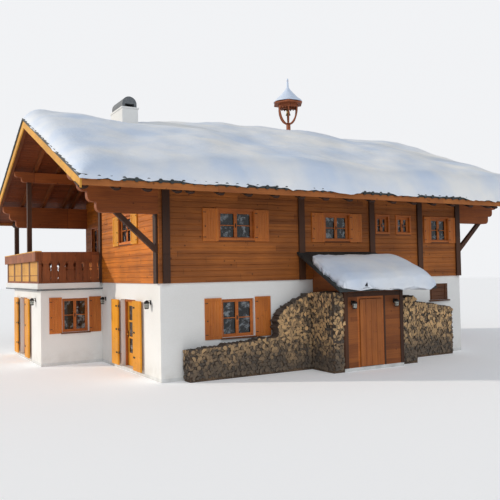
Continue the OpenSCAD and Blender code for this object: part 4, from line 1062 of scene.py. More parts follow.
@dataclass
class Windows:
    """Sashes, bars, casings, sills and handles of every window.

    Attributes:
        stop: How far the sashes stand in from the frame's edge.
        meeting: Half the joint between two sashes.
        bead: Width of a sash's rim round its light.
        bar: Width of a glazing bar.
        door_tall: Height above which a window reaches the floor.
        foot: Height of its boarded foot.
        sill_out: How far a sill stands out of the wall.
        wall_out: How far a masonry wall stands out of its window frames.
        casing: Width of a casing on the timber walls.
        lap: How far a casing reaches past the frame.
    """

    stop: float = 0.055
    meeting: float = 0.014
    bead: float = 0.034
    bar: float = 0.024
    door_tall: float = 1.5
    foot: float = 0.42
    sill_out: float = 0.075
    wall_out: float = 0.09
    casing: float = 0.066
    lap: float = 0.06

    def build(self) -> None:
        """Build the window fittings."""
        dress(Coat.FRAME_WOOD, "window_frames")
        dress(Coat.WINDOW_PANE, "window_glass")
        sashes, sills, casings, handles = Maker(), Maker(), Maker(), Maker()
        timber_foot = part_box("upper_floor")[1].z
        for low, high in solids_of("window_frames"):
            face, width, _ = outer_face(low, high)
            tall = high.z - low.z
            middle, level = width / 2, tall / 2
            self.sash_pair(sashes, face, width, tall)
            handles.slab(face, (middle - 0.016, middle + 0.016), (0.006, 0.016), (level - 0.06, level + 0.06))
            handles.rod(face.at(middle, 0.014, level), face.at(middle, 0.05, level), 0.009)
            in_timber = low.z > timber_foot
            out = self.sill_out + (0.0 if in_timber else self.wall_out)
            if tall < self.door_tall:
                sills.slab(face, (-0.05, width + 0.05), (0.0, out), (-0.045, -0.004))
            if in_timber:
                around = (-self.lap, width + self.lap)
                casings.ring(face, around, (0.045, 0.082), (-0.004, tall + self.lap), self.casing)
        sashes.finish("window_sashes", Coat.FRAME_WOOD, "frame_wood", 0.004)
        sills.finish("window_sills", Coat.SILL_WOOD, "timber", 0.006)
        casings.finish("window_casings", Coat.FRAME_WOOD, "frame_wood", 0.005)
        handles.finish("window_handles", Coat.WROUGHT_IRON, "dark_metal", 0.002)

    def sash_pair(self, maker: Maker, face: Face, width: float, tall: float) -> None:
        """Draw the two sashes of one window.

        Args:
            maker: Where they are drawn.
            face: The window's outer face.
            width: Its width.
            tall: Its height.
        """
        to_floor = tall > self.door_tall
        bars = 3 if to_floor else 1
        foot, head, middle = self.stop, tall - self.stop, width / 2
        for u0, u1 in ((self.stop, middle - self.meeting), (middle + self.meeting, width - self.stop)):
            maker.ring(face, (u0, u1), (-0.028, 0.006), (foot, head), self.bead)
            light = (u0 + self.bead, u1 - self.bead)
            for i in range(bars):
                z = foot + (head - foot) * (i + 1) / (bars + 1)
                maker.slab(face, light, (-0.03, -0.004), (z - self.bar / 2, z + self.bar / 2))
            if to_floor:
                maker.slab(face, light, (-0.034, -0.008), (foot, foot + self.foot))


@dataclass
class Shutters:
    """Framed and boarded shutters with their ironwork.

    Attributes:
        stile: Width of a fixed leaf's frame.
        board: Rough width of a board.
        gap: Width of the joint between two boards.
        tall_depth: Thickness of a hinged shutter.
        hinges: Heights of its hinges above the ground.
    """

    stile: float = 0.06
    board: float = 0.095
    gap: float = 0.004
    tall_depth: float = 0.038
    hinges: tuple[float, ...] = (0.47, 1.19, 1.91)

    def build(self) -> None:
        """Build the fixed shutters, and dress the hinged ones."""
        leaves, golden, hatch, iron = Maker(), Maker(), Maker(), Maker()
        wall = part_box("front_wall")[0].y
        for low, high in solids_of("window_shutters"):
            face, width, depth = outer_face(low, high)
            tall = high.z - low.z
            if width > 0.7 and wall < low.y < wall + 0.2:
                self.hatch(hatch, face, width, tall, depth)
                continue
            # Painted sunlight: leaves on faces turned to -X get the lighter, golden copy of the shutter wood.
            self.leaf(golden if face.out.x < -0.5 else leaves, face, width, tall, depth)
            for z in (0.12 * tall, 0.88 * tall):
                iron.slab(face, (0.0, 0.09), (-SUNK, 0.004), (z - 0.01, z + 0.01))
            knob = [(0.016, -SUNK), (0.02, 0.01), (0.011, 0.022)]
            turn = face.out.to_track_quat("Z", "Y").to_matrix()
            iron.lathe(face.at(width * 0.14, 0.0, tall * 0.45), knob, 10, turn)
        piece = leaves.finish("window_shutter_leaves", Coat.SHUTTER_WOOD, "orange_wood", 0.003)
        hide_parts("window_shutters")
        golden.finish("gable_shutter_leaves", Coat.SUNLIT_SHUTTER_WOOD, "orange_wood", 0.003)
        # Painted shade: the hatch's boards get the darker brown.
        hatch.finish("hatch_boards", Coat.SHADED_HATCH_WOOD, "orange_wood", 0.003)
        iron.finish("shutter_ironwork", Coat.WROUGHT_IRON, "dark_metal", 0.0015)
        for node in ("gable_shutter_near", "gable_shutter_far", "bay_shutter_near", "bay_shutter_far"):
            self.tall_shutter(node)

    def leaf(self, maker: Maker, face: Face, width: float, tall: float, depth: float) -> None:
        """Draw one fixed leaf.

        Args:
            maker: Where it is drawn.
            face: Its outer face.
            width: Its width.
            tall: Its height.
            depth: Its thickness.
        """
        side, rail = self.stile, self.stile * 1.15
        inner = (side, width - side)
        count = max(2, round((width - 2 * side) / self.board))
        maker.ring(face, (0, width), (-depth, 0), (0, tall), side, rail)
        upright = (rail - 0.004, tall - rail + 0.004)
        maker.boards(face, inner, (0.006 - depth, -0.012), upright, count, self.gap)
        maker.ring(face, inner, (-0.014, -0.005), (rail, tall - rail), 0.016)

    def hatch(self, maker: Maker, face: Face, width: float, tall: float, depth: float) -> None:
        """Draw the boards that close the small high window.

        Args:
            maker: Where they are drawn.
            face: Their outer face.
            width: Width of the opening.
            tall: Height of the opening.
            depth: Thickness of the boards.
        """
        count = 4
        for i in range(count):
            foot, head = tall * i / count, tall * (i + 1) / count
            maker.slab(face, (0, width), (-depth, 0.0), (foot + 0.002, head - 0.003))
        for u in (0.07, width - 0.13):
            maker.slab(face, (u, u + 0.06), (-SUNK, 0.022), (0.01, tall - 0.01))

    def tall_shutter(self, node: str) -> None:
        """Dress one hinged shutter: a framed face on both sides, and iron straps.

        Args:
            node: The shutter's node.
        """
        dress(Coat.SUNLIT_SHUTTER_WOOD, node)
        low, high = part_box(node)
        hinge, way = (high.y, -Y) if node.endswith("near") else (low.y, Y)
        outer = low.x + 0.008
        width, tall = high.y - low.y - 0.02, high.z - low.z
        wood, iron = Maker(), Maker()
        for out, x in ((X, outer + self.tall_depth), (-X, outer)):
            face = Face(Vector((x, hinge, low.z)) + way * 0.02, way, out)
            wood.ring(face, (0.04, width - 0.002), (-SUNK, 0.006), (0.003, tall - 0.003), 0.07, 0.09)
            wood.boards(face, (0.11, width - 0.072), (-SUNK, 0.003), (0.09, tall - 0.09), 4, 0.006)
        for level in self.hinges:
            z = level - low.z
            iron.slab(face, (0.045, 0.21), (0.004, 0.0125), (z + 0.006, z + 0.054))
            pin = Vector((outer + self.tall_depth / 2, hinge, level + 0.001)) + way * 0.016
            iron.lathe(pin, [(0.0175, 0), (0.0175, 0.058)], 12)
        wood.finish(node + "_boards", Coat.SUNLIT_SHUTTER_WOOD, "orange_wood", 0.002, body=node)
        iron.finish(node + "_straps", Coat.WROUGHT_IRON, "dark_metal", 0.0015, body=node)


@dataclass
class Doors:
    """Panels, bars and handles of the doors, and the porch's posts.

    Attributes:
        stiles: Width of a glazed door's stiles, hinge side first.
        lights: Number of lights, one above the other.
        light_foot: Height of the lowest light's foot.
        head: Height of the rail over the lights.
        rail: Height of a rail between two lights.
        lock: Foot and head of the lock plate.
        porch_post: Width of the porch's corner posts.
        proud: How far those posts stand out of the boards.
        door_boards: Number of boards in the porch door.
    """

    stiles: Span = (0.13, 0.11)
    lights: int = 3
    light_foot: float = 0.38
    head: float = 0.11
    rail: float = 0.03
    lock: Span = (0.86, 1.06)
    porch_post: float = 0.13
    proud: float = 0.022
    door_boards: int = 4

    def build(self) -> None:
        """Dress the doors and the porch's front."""
        dress(Coat.FRAME_WOOD, "door_frames")
        for node in ("gable_door", "bay_door"):
            self.glazed(node)
        self.porch()

    def glazed(self, node: str) -> None:
        """Dress one glazed door.

        Args:
            node: The door's node.
        """
        dress(Coat.SUNLIT_SHUTTER_WOOD, node)
        low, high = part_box(node)
        face = Face(Vector((low.x + 0.06, low.y, low.z)), Y, -X)
        width, tall = high.y - low.y, high.z - low.z
        wood, glass, iron = Maker(), Maker(), Maker()
        wood.ring(face, (0.16, width - 0.13), (-0.004, 0.008), (0.08, 0.34), 0.03)
        wood.slab(face, (0.22, width - 0.19), (-0.004, 0.012), (0.14, 0.28))
        left, right = self.stiles[0], width - self.stiles[1]
        start, stop = self.light_foot, tall - self.head
        pitch = (stop - start + self.rail) / self.lights
        for i in range(self.lights):
            foot, head = start + i * pitch, start + (i + 1) * pitch - self.rail
            wood.ring(face, (left, right), (-0.012, 0.005), (foot, head), 0.014)
            glass.slab(face, (left - SUNK, right + SUNK), (-0.0375, -0.0175), (foot + 0.001, head - 0.001))
        middle = (left + right) / 2
        wood.slab(face, (middle - 0.022, middle + 0.022), (-0.038, 0.006), (start, stop))
        iron.slab(face, (width - 0.07, width - 0.03), (-0.001, 0.008), self.lock)
        wood.finish(node + "_mouldings", Coat.SUNLIT_SHUTTER_WOOD, "orange_wood", 0.003, body=node)
        glass.finish(node + "_glass", Coat.WINDOW_PANE, "glass", body=node)
        iron.finish(node + "_lock_plate", Coat.WROUGHT_IRON, "dark_metal", 0.0015, body=node)

    def porch(self) -> None:
        """Dress the porch door, and put posts and a beam round it."""
        dress(Coat.DOOR_WOOD, "porch_door")
        low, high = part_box("porch_frame")
        left, right = (corner.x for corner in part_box("porch_walls"))
        leaf_low, leaf_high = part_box("porch_door")
        wide, proud, lintel = self.porch_post, self.proud, leaf_high.z + 0.07
        trim, boards = Maker(), Maker()
        face = Face(Vector((left, low.y, 0)), X, -Y)
        span, upright = right - left, (low.z, high.z - 0.03)
        for u in (0.0, span - wide):
            trim.slab(face, (u, u + wide), (-SUNK, proud), upright)
        trim.slab(face, (wide, span - wide), (-SUNK, proud - 0.006), (lintel, lintel + wide))
        jamb = leaf_high.x - left + 0.075
        trim.slab(face, (jamb, jamb + 0.07), (-SUNK, proud - 0.012), (low.z, lintel))
        for x, out in ((left, -X), (right, X)):
            trim.slab(Face(Vector((x, low.y, 0)), Y, out), (0.0, wide), (-SUNK, proud), upright)
        trim.finish("porch_posts", Coat.DARK_POSTS, "timber", 0.006)
        size = leaf_high - leaf_low
        boards.boards(Face(leaf_low, X, -Y), (0, size.x), (-SUNK, 0.004), (0.01, size.z - 0.01),
                      self.door_boards, 0.008)
        boards.finish("porch_door_boards", Coat.DOOR_WOOD, "orange_wood", 0.002, body="porch_door")


@dataclass
class Balcony:
    """Side panels, drip strip and flower boxes of the balcony.

    Attributes:
        panel: Rough width of a panel in the side.
        stile: Width of the strips between them.
        split: Height of the panels' joint, as a share of their height.
        drip: Height of the drip strip, how far it stands out and how far it hangs down.
        rim: How far a flower box's rim stands out and up.
    """

    panel: float = 1.05
    stile: float = 0.13
    split: float = 0.3
    drip: tuple[float, float, float] = (0.035, 0.014, 0.012)
    rim: Span = (0.012, 0.03)

    def build(self) -> None:
        """Dress the balcony."""
        dress(Coat.RAIL_BOARDS, "balustrade", "balcony_rail")
        gold, strips, drip, rims = Maker(), Maker(), Maker(), Maker()
        for low, high in solids_of("balustrade"):
            size = high - low
            if size.y < 1.0:
                continue
            face, split = Face(low, Y, -X), size.z * self.split
            count = max(1, round(size.y / self.panel))
            step = (size.y - self.stile) / count
            for i in range(count + 1):
                u = i * step
                strips.slab(face, (u, u + self.stile), (-SUNK, 0.014), (0.004, size.z - 0.004))
                for z in ((0.004, split - 0.012), (split + 0.012, size.z - 0.004)) if i < count else ():
                    gold.slab(face, (u + self.stile, u + step), (-SUNK, 0.009), z)
        # Painted sunlight: the side panels, turned to -X, get the golden copy of the rail boards.
        gold.finish("balcony_side_boards", Coat.SUNLIT_GOLD_PANELS, "timber", 0.003)
        strips.finish("balcony_side_strips", Coat.STRIP_WOOD, "timber", 0.003)
        # The drip strip is dark metal under the slab's lip. Its dark also stands in for the shadow line
        # there: partly real, partly painted shadow.
        low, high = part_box("balcony_slab")
        tall, proud, dip = self.drip
        corner = low - Vector((proud, proud, dip))
        drip.box(corner, (low.x + SUNK, high.y, low.z + tall))
        drip.box(corner, (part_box("gable_wall")[0].x, low.y + SUNK, low.z + tall))
        drip.finish("slab_drip_strip", Coat.HOOD_STEEL, "dark_metal", 0.002)
        low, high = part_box("balcony_rail")
        edge, lift = self.rim
        inner = low.x + 0.19
        for x0, x1, y0, y1 in (
            (low.x - edge, inner + edge, low.y - edge, low.y + 0.04),
            (low.x - edge, low.x + 0.035, low.y + 0.04, high.y - 0.04),
            (inner - 0.03, inner + edge, low.y + 0.19, high.y - 0.19),
        ):
            rims.box((x0, y0, high.z - SUNK), (x1, y1, high.z + lift))
        # Painted sunlight: the rims get the golden copy as well.
        rims.finish("flower_box_rims", Coat.SUNLIT_GOLD_PANELS, "timber", 0.004)


@dataclass
class Roof:
    """Edge tiles, rafter tails and soffit planks of the roof.

    Attributes:
        tile_pitch: Length of tile that shows in each course.
        tile_width: Rough width of a tile.
        verge: Width of the tiles along the verges.
        plank: Width of a soffit plank.
        tail_width: Width of a rafter's rounded tail.
        tail_depth: How far a tail hangs below its rafter.
        tail_length: Length of a tail.
        tail_sides: Number of facets round it.
    """

    tile_pitch: float = 0.34
    tile_width: float = 0.3
    verge: float = 0.22
    plank: float = 0.14
    tail_width: float = 0.26
    tail_depth: float = 0.085
    tail_length: float = 0.4
    tail_sides: int = 8

    def build(self) -> None:
        """Build the roof's details."""
        dress(Coat.ROOF_TILE, "roof_tiles", "porch_roof")
        dress(Coat.SOFFIT, "roof_deck")
        dress(Coat.RAFTER_WOOD, "rafters")
        dress(Coat.BARGE_BOARDS, "barge_boards")
        dress(Coat.FASCIA_WOOD, "fascias")
        self.edge_tiles()
        self.planks()
        self.rafter_tails()

    def slope(self) -> tuple[Vector, float]:
        """Find the front slope.

        Returns:
            The unit vector up the slope, and its length.
        """
        low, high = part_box("roof_tiles")
        way = Vector((0, (high.y - low.y) / 2, high.z - low.z - 0.07))
        return way.normalized(), way.length

    def edge_tiles(self) -> None:
        """Lay a tile on each course of the verges, and a nose on each column of the eaves."""
        low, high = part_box("roof_tiles")
        way, length = self.slope()
        up = Vector((0, -way.z, way.y))
        count = int(length / self.tile_pitch)
        step = way * (length - 0.02) / count
        foot = Vector((0, low.y, high.z - way.z * length))
        lower, upper = (foot, 0.028), (foot + way * (self.tile_pitch + 0.03), 0.004)
        columns = int((high.x - low.x) / self.tile_width)
        pitch = (high.x - low.x) / columns
        rows = []
        for x0, x1 in ((low.x - 0.012, low.x + self.verge), (high.x - self.verge, high.x + 0.012)):
            for side in (1, -1):
                levels = []
                for below in (True, False):
                    spots = [(x, point + up * (-0.03 if below else lift)) for (point, lift), x in
                             ((lower, x0), (lower, x1), (upper, x1), (upper, x0))]
                    levels.append([Vector((x, spot.y * side, spot.z)) for x, spot in spots])
                tile = Maker()
                tile.loft(levels)
                rows.append(row_of(tile, count, Vector((0, step.y * side, step.z)), Coat.ROOF_TILE))
        for side in (1, -1):
            nose = Maker()
            centre = Vector((low.x + pitch / 2, (low.y + 0.06) * side, low.z + 0.03))
            turn = Matrix.Rotation(math.radians(90) * side, 3, "X")
            nose.lathe(centre, [(0.05, 0.0), (0.058, 0.085)], 12, turn)
            rows.append(row_of(nose, columns, X * pitch, Coat.ROOF_TILE))
        adopt(join(rows, "edge_tiles"), "edge_tiles", Coat.ROOF_TILE, "tiles")

    def rafter_tails(self) -> None:
        """Round the rafters' tails under the eaves."""
        way, wall = self.slope()[0], abs(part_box("front_wall")[0].y)
        arc = [math.pi * i / self.tail_sides for i in range(self.tail_sides + 1)]
        tails = Maker()
        for low, high in solids_of("rafters"):
            middle = (low.x + high.x) / 2
            for side, eave in ((1, low.y), (-1, high.y)):
                if abs(eave) < wall:
                    continue
                rings = []
                for along, share in ((0.0, 0.8), (0.05, 1.0), (self.tail_length, 1.0)):
                    centre = Vector((middle, eave + side * way.y * along, low.z + way.z * along + 0.01))
                    wide, deep = self.tail_width / 2 * share, self.tail_depth * share
                    rings.append([centre + X * wide * math.cos(a) - Z * deep * math.sin(a) for a in arc])
                tails.loft(rings)
        # Painted shade: the tails get the darker copy of the rafter wood.
        tails.finish("rafter_tails", Coat.SHADED_TAIL_WOOD, "timber", smooth=True)

    def planks(self) -> None:
        """Lay planks under the roof boards where they overhang the gables."""
        low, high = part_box("roof_deck")
        way = self.slope()[0]
        rise, half = way.z / way.y, (high.y - low.y) / 2
        count = int(half / self.plank)
        step = half / count
        edges = (0.004, step - 0.004)
        rows = []
        for x0, x1 in ((low.x + 0.004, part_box("loggia_wall")[1].x),
                       (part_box("front_wall")[1].x - 0.02, high.x - 0.004)):
            for side in (1, -1):
                board = Maker()
                board.loft(
                    [Vector((x, (low.y + y) * side, low.z + y * rise + z))
                     for x, y in ((x0, edges[0]), (x1, edges[0]), (x1, edges[1]), (x0, edges[1]))]
                    for z in (-0.012, SUNK)
                )
                rows.append(row_of(board, count, Vector((0, step * side, step * rise)), Coat.SOFFIT))
        adopt(join(rows, "soffit_planks"), "soffit_planks", Coat.SOFFIT, "timber")


@dataclass
class SnowBlankets:
    """Snow that lies on the roof, the porch and the turret.

    Attributes:
        ripple: Height of the soft waves on the snow.
        lump: Height of the small lumps.
        rim: Width of the porch snow's rim that hangs over the edge.
        overhang: How far a rim reaches out over a roof's edge.
        droop: How far a rim hangs down.
        least: Least depth of the snow over the tiles.
        cell: Size of the roof quilt's mesh cells.
        smoothing: How often its depths are evened out.
        round_rim: Width of its rounded rim.
        verge_share: How far it reaches over the verges, as a share of the eaves' lip.
        verge_in: How far its edge is set back there.
        flat: How upright a face's normal is where snow lies on it.
        cushion: Depth of the porch's snow, whose sides are steep.
        cap_spread: How far the turret's snow is spread at its rim, as a share.
        cap_bulge: How far it bulges halfway up.
    """

    ripple: float = 0.03
    lump: float = 0.012
    rim: float = 0.8
    overhang: float = 0.12
    droop: float = 0.1
    least: float = 0.07
    cell: float = 0.13
    smoothing: int = 6
    round_rim: float = 0.3
    verge_share: float = 0.4
    verge_in: float = 0.025
    flat: float = 0.15
    cushion: float = 0.46
    cap_spread: float = 0.16
    cap_bulge: float = 0.05

    def __post_init__(self) -> None:
        """Gather the tiles that the snow lies on."""
        self.tiles = tree_of("roof_tiles", "porch_roof", "turret_roof")
        self.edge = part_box("roof_tiles")
        self.porch, self.turret = sorted(solids_of("snow_caps"), key=lambda box: box[1].z)
        self.porch_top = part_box("porch_roof")[1].z + 0.1
        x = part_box("roof_snow")[0].x + 1.0
        at_ridge, lower = (self.tiles.ray_cast(Vector((x, y, 20)), -Z)[0].z for y in (0.5, 4.5))
        self.fall = (at_ridge - lower) / 4.0
        self.ridge = at_ridge + 0.5 * self.fall

    def build(self) -> None:
        """Sculpt the snow from the plain blankets."""
        quilt = adopt(self.quilt(), "roof_snow_quilt", Coat.SNOW, "snow", smooth=True)
        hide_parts("roof_snow")
        caps = adopt(self.caps(), "snow_caps_sculpted", Coat.SNOW, "snow", smooth=True)
        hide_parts("snow_caps")

    def bed(self, y: float) -> float:
        """Height of the tiles' upper face at a place across the roof."""
        return self.ridge - self.fall * abs(y)

    def lip(self, spot: Vector) -> float:
        """How far the roof's snow reaches out over the edge at one place."""
        rough = 0.35 + 0.9 * noise.noise(spot * 1.3) + 0.5 * noise.noise(spot * 4.5)
        return self.overhang * min(1.2, max(-0.35, rough))

    def depths(self, xs: np.ndarray, ys: np.ndarray) -> np.ndarray:
        """Read the plain snow's depth over the tiles, and smooth it.

        Args:
            xs: Places along the ridge.
            ys: Places across the roof.

        Returns:
            The depth at each place.
        """
        snow, above = tree_of("roof_snow"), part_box("roof_snow")[1].z + 1
        deep = np.zeros((len(xs), len(ys)))
        for i, x in enumerate(xs):
            for j, y in enumerate(ys):
                top = snow.ray_cast(Vector((x, y, above)), -Z)[0]
                deep[i, j] = max(top.z - self.bed(y), self.least) if top else self.least
        for _ in range(self.smoothing):
            wide = np.pad(deep, 1, mode="edge")
            deep = (wide[:-2, 1:-1] + wide[2:, 1:-1] + wide[1:-1, :-2] + wide[1:-1, 2:] + 4 * deep) / 8
        return deep

    def column(self, x: float, y: float, depth: float) -> Box:
        """Shape the snow at one place of the roof.

        Args:
            x: Place along the ridge.
            y: Place across the roof.
            depth: Depth of the plain snow there.

        Returns:
            The snow's lower and upper point.
        """
        low, high = self.edge
        out_x = self.lip(Vector((math.copysign(9, x), y, 0))) * self.verge_share - self.verge_in
        out_y = self.lip(Vector((x, math.copysign(9, y), 0)))
        share_x = abs(2 * (x - low.x) / (high.x - low.x) - 1) ** 12
        share_y = abs(2 * (y - low.y) / (high.y - low.y) - 1) ** 12
        foot = Vector((x + math.copysign(out_x, x) * share_x, y + math.copysign(out_y, y) * share_y, 0))
        past = (low.x - foot.x, foot.x - high.x, low.y - foot.y, foot.y - high.y)
        inside = min(out - gone for gone, out in zip(past, (out_x, out_x, out_y, out_y)))
        hang = self.droop * min(1.0, max(*past, 0.0) / self.overhang)
        foot.z = self.bed(foot.y) + 0.006 - hang
        near = 1.0 - min(1.0, max(0.0, inside) / self.round_rim)
        wave = noise.noise(Vector((x, y, 0)) * 1.1) * self.ripple * 2
        wave += noise.noise(Vector((x, y, 3)) * 4.0) * self.lump
        thick = max(depth + wave, self.least) * math.sqrt(max(0.0, 1.0 - near * near))
        return foot, foot + Z * (thick + 0.004)

    def quilt(self) -> bpy.types.Mesh:
        """Lay one smooth quilt of snow over both slopes.

        Returns:
            The quilt's mesh.
        """
        low, high = self.edge
        xs = np.linspace(low.x, high.x, int((high.x - low.x) / self.cell))
        ys = np.linspace(low.y, high.y, int((high.y - low.y) / self.cell))
        bm = bmesh.new()
        bottoms, tops = [], []
        for x, row in zip(xs, self.depths(xs, ys)):
            feet, heads = zip(*(self.column(x, y, depth) for y, depth in zip(ys, row)))
            bottoms.append([bm.verts.new(foot) for foot in feet])
            tops.append([bm.verts.new(head) for head in heads])
        last_x, last_y = len(xs) - 1, len(ys) - 1
        for i in range(last_x):
            for j in range(last_y):
                for grid in (tops, bottoms):
                    bm.faces.new((grid[i][j], grid[i + 1][j], grid[i + 1][j + 1], grid[i][j + 1]))
        rim = [(i, 0) for i in range(last_x)] + [(last_x, j) for j in range(last_y)]
        rim += [(i, last_y) for i in range(last_x, 0, -1)] + [(0, j) for j in range(last_y, 0, -1)]
        for (a, b), (c, d) in zip(rim, rim[1:] + rim[:1]):
            bm.faces.new((bottoms[a][b], bottoms[c][d], tops[c][d], tops[a][b]))
        return to_mesh(bm, "roof_snow_quilt")

    def caps(self, levels: int = 2) -> bpy.types.Mesh:
        """Round the porch's and the turret's snow, ripple it and let it hang over.

        Args:
            levels: How often its faces are divided.

        Returns:
            The sculpted mesh.
        """
        bm = bmesh.new()
        bm.from_mesh(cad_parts["snow_caps"].data)
        bmesh.ops.remove_doubles(bm, verts=bm.verts, dist=0.0005)
        bmesh.ops.dissolve_degenerate(bm, dist=0.0005, edges=bm.edges)
        flat = math.radians(60)
        bmesh.ops.join_triangles(bm, faces=bm.faces[:], angle_face_threshold=flat, angle_shape_threshold=flat)
        carrier = place("carrier", to_mesh(bm, "snow_caps", outward=False))
        divide = carrier.modifiers.new("divide", "SUBSURF")
        divide.levels = divide.render_levels = levels
        fine = evaluated(carrier)
        pairs = [(vertex.co.copy(), vertex.normal.copy()) for vertex in fine.vertices]
        moved = [self.settled(spot, way) for spot, way in pairs]
        fine.vertices.foreach_set("co", [value for spot in moved for value in spot])
        return fine

    def settled(self, spot: Vector, way: Vector) -> Vector:
        """Move one point of the porch's or the turret's snow, and keep it above the tiles.

        Args:
            spot: The point.
            way: The surface's normal there.

        Returns:
            The moved point.
        """
        moved = self.thickened(spot) if spot.z > self.turret[0].z else self.hung(spot, way)
        bed = self.tiles.ray_cast(moved + Z * 0.3, -Z, 1.0)[0]
        if bed:
            deep = max(moved.z - bed.z, self.least if way.z > self.flat else 0.0)
            if way.z > self.flat and bed.z < self.porch_top:
                deep = self.cushion * (deep / self.cushion) ** 0.5
            moved.z = bed.z + deep
        return moved

    def hung(self, spot: Vector, way: Vector) -> Vector:
        """Ripple a point of the porch's snow, and push it over the edge near its rim.

        Args:
            spot: The point.
            way: The surface's normal there.

        Returns:
            The moved point.
        """
        wave = noise.noise(spot * 1.6) * self.ripple + noise.noise(spot * 6.0) * self.lump
        moved = spot + way * wave * min(1.0, max(0.0, way.z) * 2)
        low, high = self.porch
        inside = min(spot.x - low.x, high.x - spot.x, spot.y - low.y, high.y - spot.y)
        if -0.05 < inside < self.rim and way.z < 0.65:
            side = min(1.0, (0.65 - way.z) / 0.5)
            rough = 0.75 + 1.2 * noise.noise(spot * 1.3) + 0.7 * noise.noise(spot * 4.5)
            moved += Vector((way.x, way.y, 0)) * self.overhang * side * rough
            moved.z -= self.droop * side * max(0.0, rough - 0.35)
        return moved

    def thickened(self, spot: Vector) -> Vector:
        """Push a point of the turret's snow outward.

        Args:
            spot: The point.

        Returns:
            The moved point.
        """
        low, high = self.turret
        axis = Vector(((low.x + high.x) / 2, (low.y + high.y) / 2, 0))
        arm = Vector((spot.x, spot.y, 0)) - axis
        share = min(1.0, max(0.0, (spot.z - low.z) / (high.z - low.z)))
        bulge = self.cap_bulge * math.sin(math.pi * min(1.0, share * 1.2)) if share < 0.83 else 0.0
        moved = axis + arm * (1.0 + self.cap_spread * (1 - share) ** 2) + arm.normalized() * bulge
        moved.z = spot.z + noise.noise(spot * 5.0) * self.lump * (1 - share)
        return moved


@dataclass
class Turret:
    """Finishes of the chimney cap, the bell turret and the bell."""

    def build(self) -> None:
        """Dress the turret and the chimney cap."""
        dress(Coat.TURRET_WOOD, "bell_turret", "turret_roof")
        dress(Coat.BELL_BRONZE, "bell")
        dress(Coat.HOOD_STEEL, "chimney_cap")


@dataclass
class Lanterns:
    """Wall lanterns with an arched cap, a caged glass and a bracket.

    Attributes:
        arm: Distance of a lantern's axis from the wall.
        bars: Number of bars in its cage.
        cap: Radius of each ring of the cap, and its height as a share of the lantern's.
        band: The same for the band round the glass.
    """

    arm: float = 0.12
    bars: int = 6
    cap: tuple[Span, ...] = ((0.078, 0.62), (0.082, 0.65), (0.074, 0.74), (0.05, 0.85), (0.02, 0.91),
                             (0.012, 0.97))
    band: tuple[Span, ...] = ((0.068, 0.34), (0.07, 0.35), (0.068, 0.37))

    def build(self) -> None:
        """Build the lanterns in place of their plain blocks."""
        iron, glass = Maker(), Maker()
        for low, high in solids_of("lanterns"):
            middle = (low + high) / 2
            if high.y - low.y > high.x - low.x:
                face = Face(Vector((middle.x, high.y, low.z)), X, -Y)
            else:
                face = Face(Vector((high.x, middle.y, low.z)), Y, -X)
            self.one(iron, glass, face, high.z - low.z)
        piece = iron.finish("lantern_cages", Coat.WROUGHT_IRON, "dark_metal", smooth=True)
        glass.finish("lantern_glass", Coat.LAMP_PANE, "glass", smooth=True)
        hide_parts("lanterns")

    def one(self, iron: Maker, glass: Maker, face: Face, tall: float) -> None:
        """Draw one lantern.

        Args:
            iron: Where its ironwork is drawn.
            glass: Where its glass is drawn.
            face: The wall behind it, with the origin below the lantern.
            tall: Its height.
        """
        iron.slab(face, (-0.04, 0.04), (0.0, 0.012), (tall * 0.45, tall * 0.95))
        iron.rod(face.at(0, 0.005, tall * 0.88), face.at(0, self.arm, tall * 0.92), 0.009)
        iron.rod(face.at(0, 0.005, tall * 0.6), face.at(0, 0.1, tall * 0.86), 0.006)
        centre = face.at(0, self.arm, 0)
        for rings in (self.cap, self.band):
            iron.lathe(centre, [(radius, share * tall) for radius, share in rings])
        iron.lathe(centre, [(0.05, 0.0), (0.062, 0.012), (0.062, 0.022)])
        glass.lathe(centre, [(0.052, 0.02), (0.062, tall * 0.3), (0.066, tall * 0.62)])
        for i in range(self.bars):
            angle = 2 * math.pi * i / self.bars + 0.3
            out = Vector((math.cos(angle), math.sin(angle), 0))
            iron.rod(centre + out * 0.058 + Z * 0.01, centre + out * 0.07 + Z * tall * 0.63, 0.004, 6)


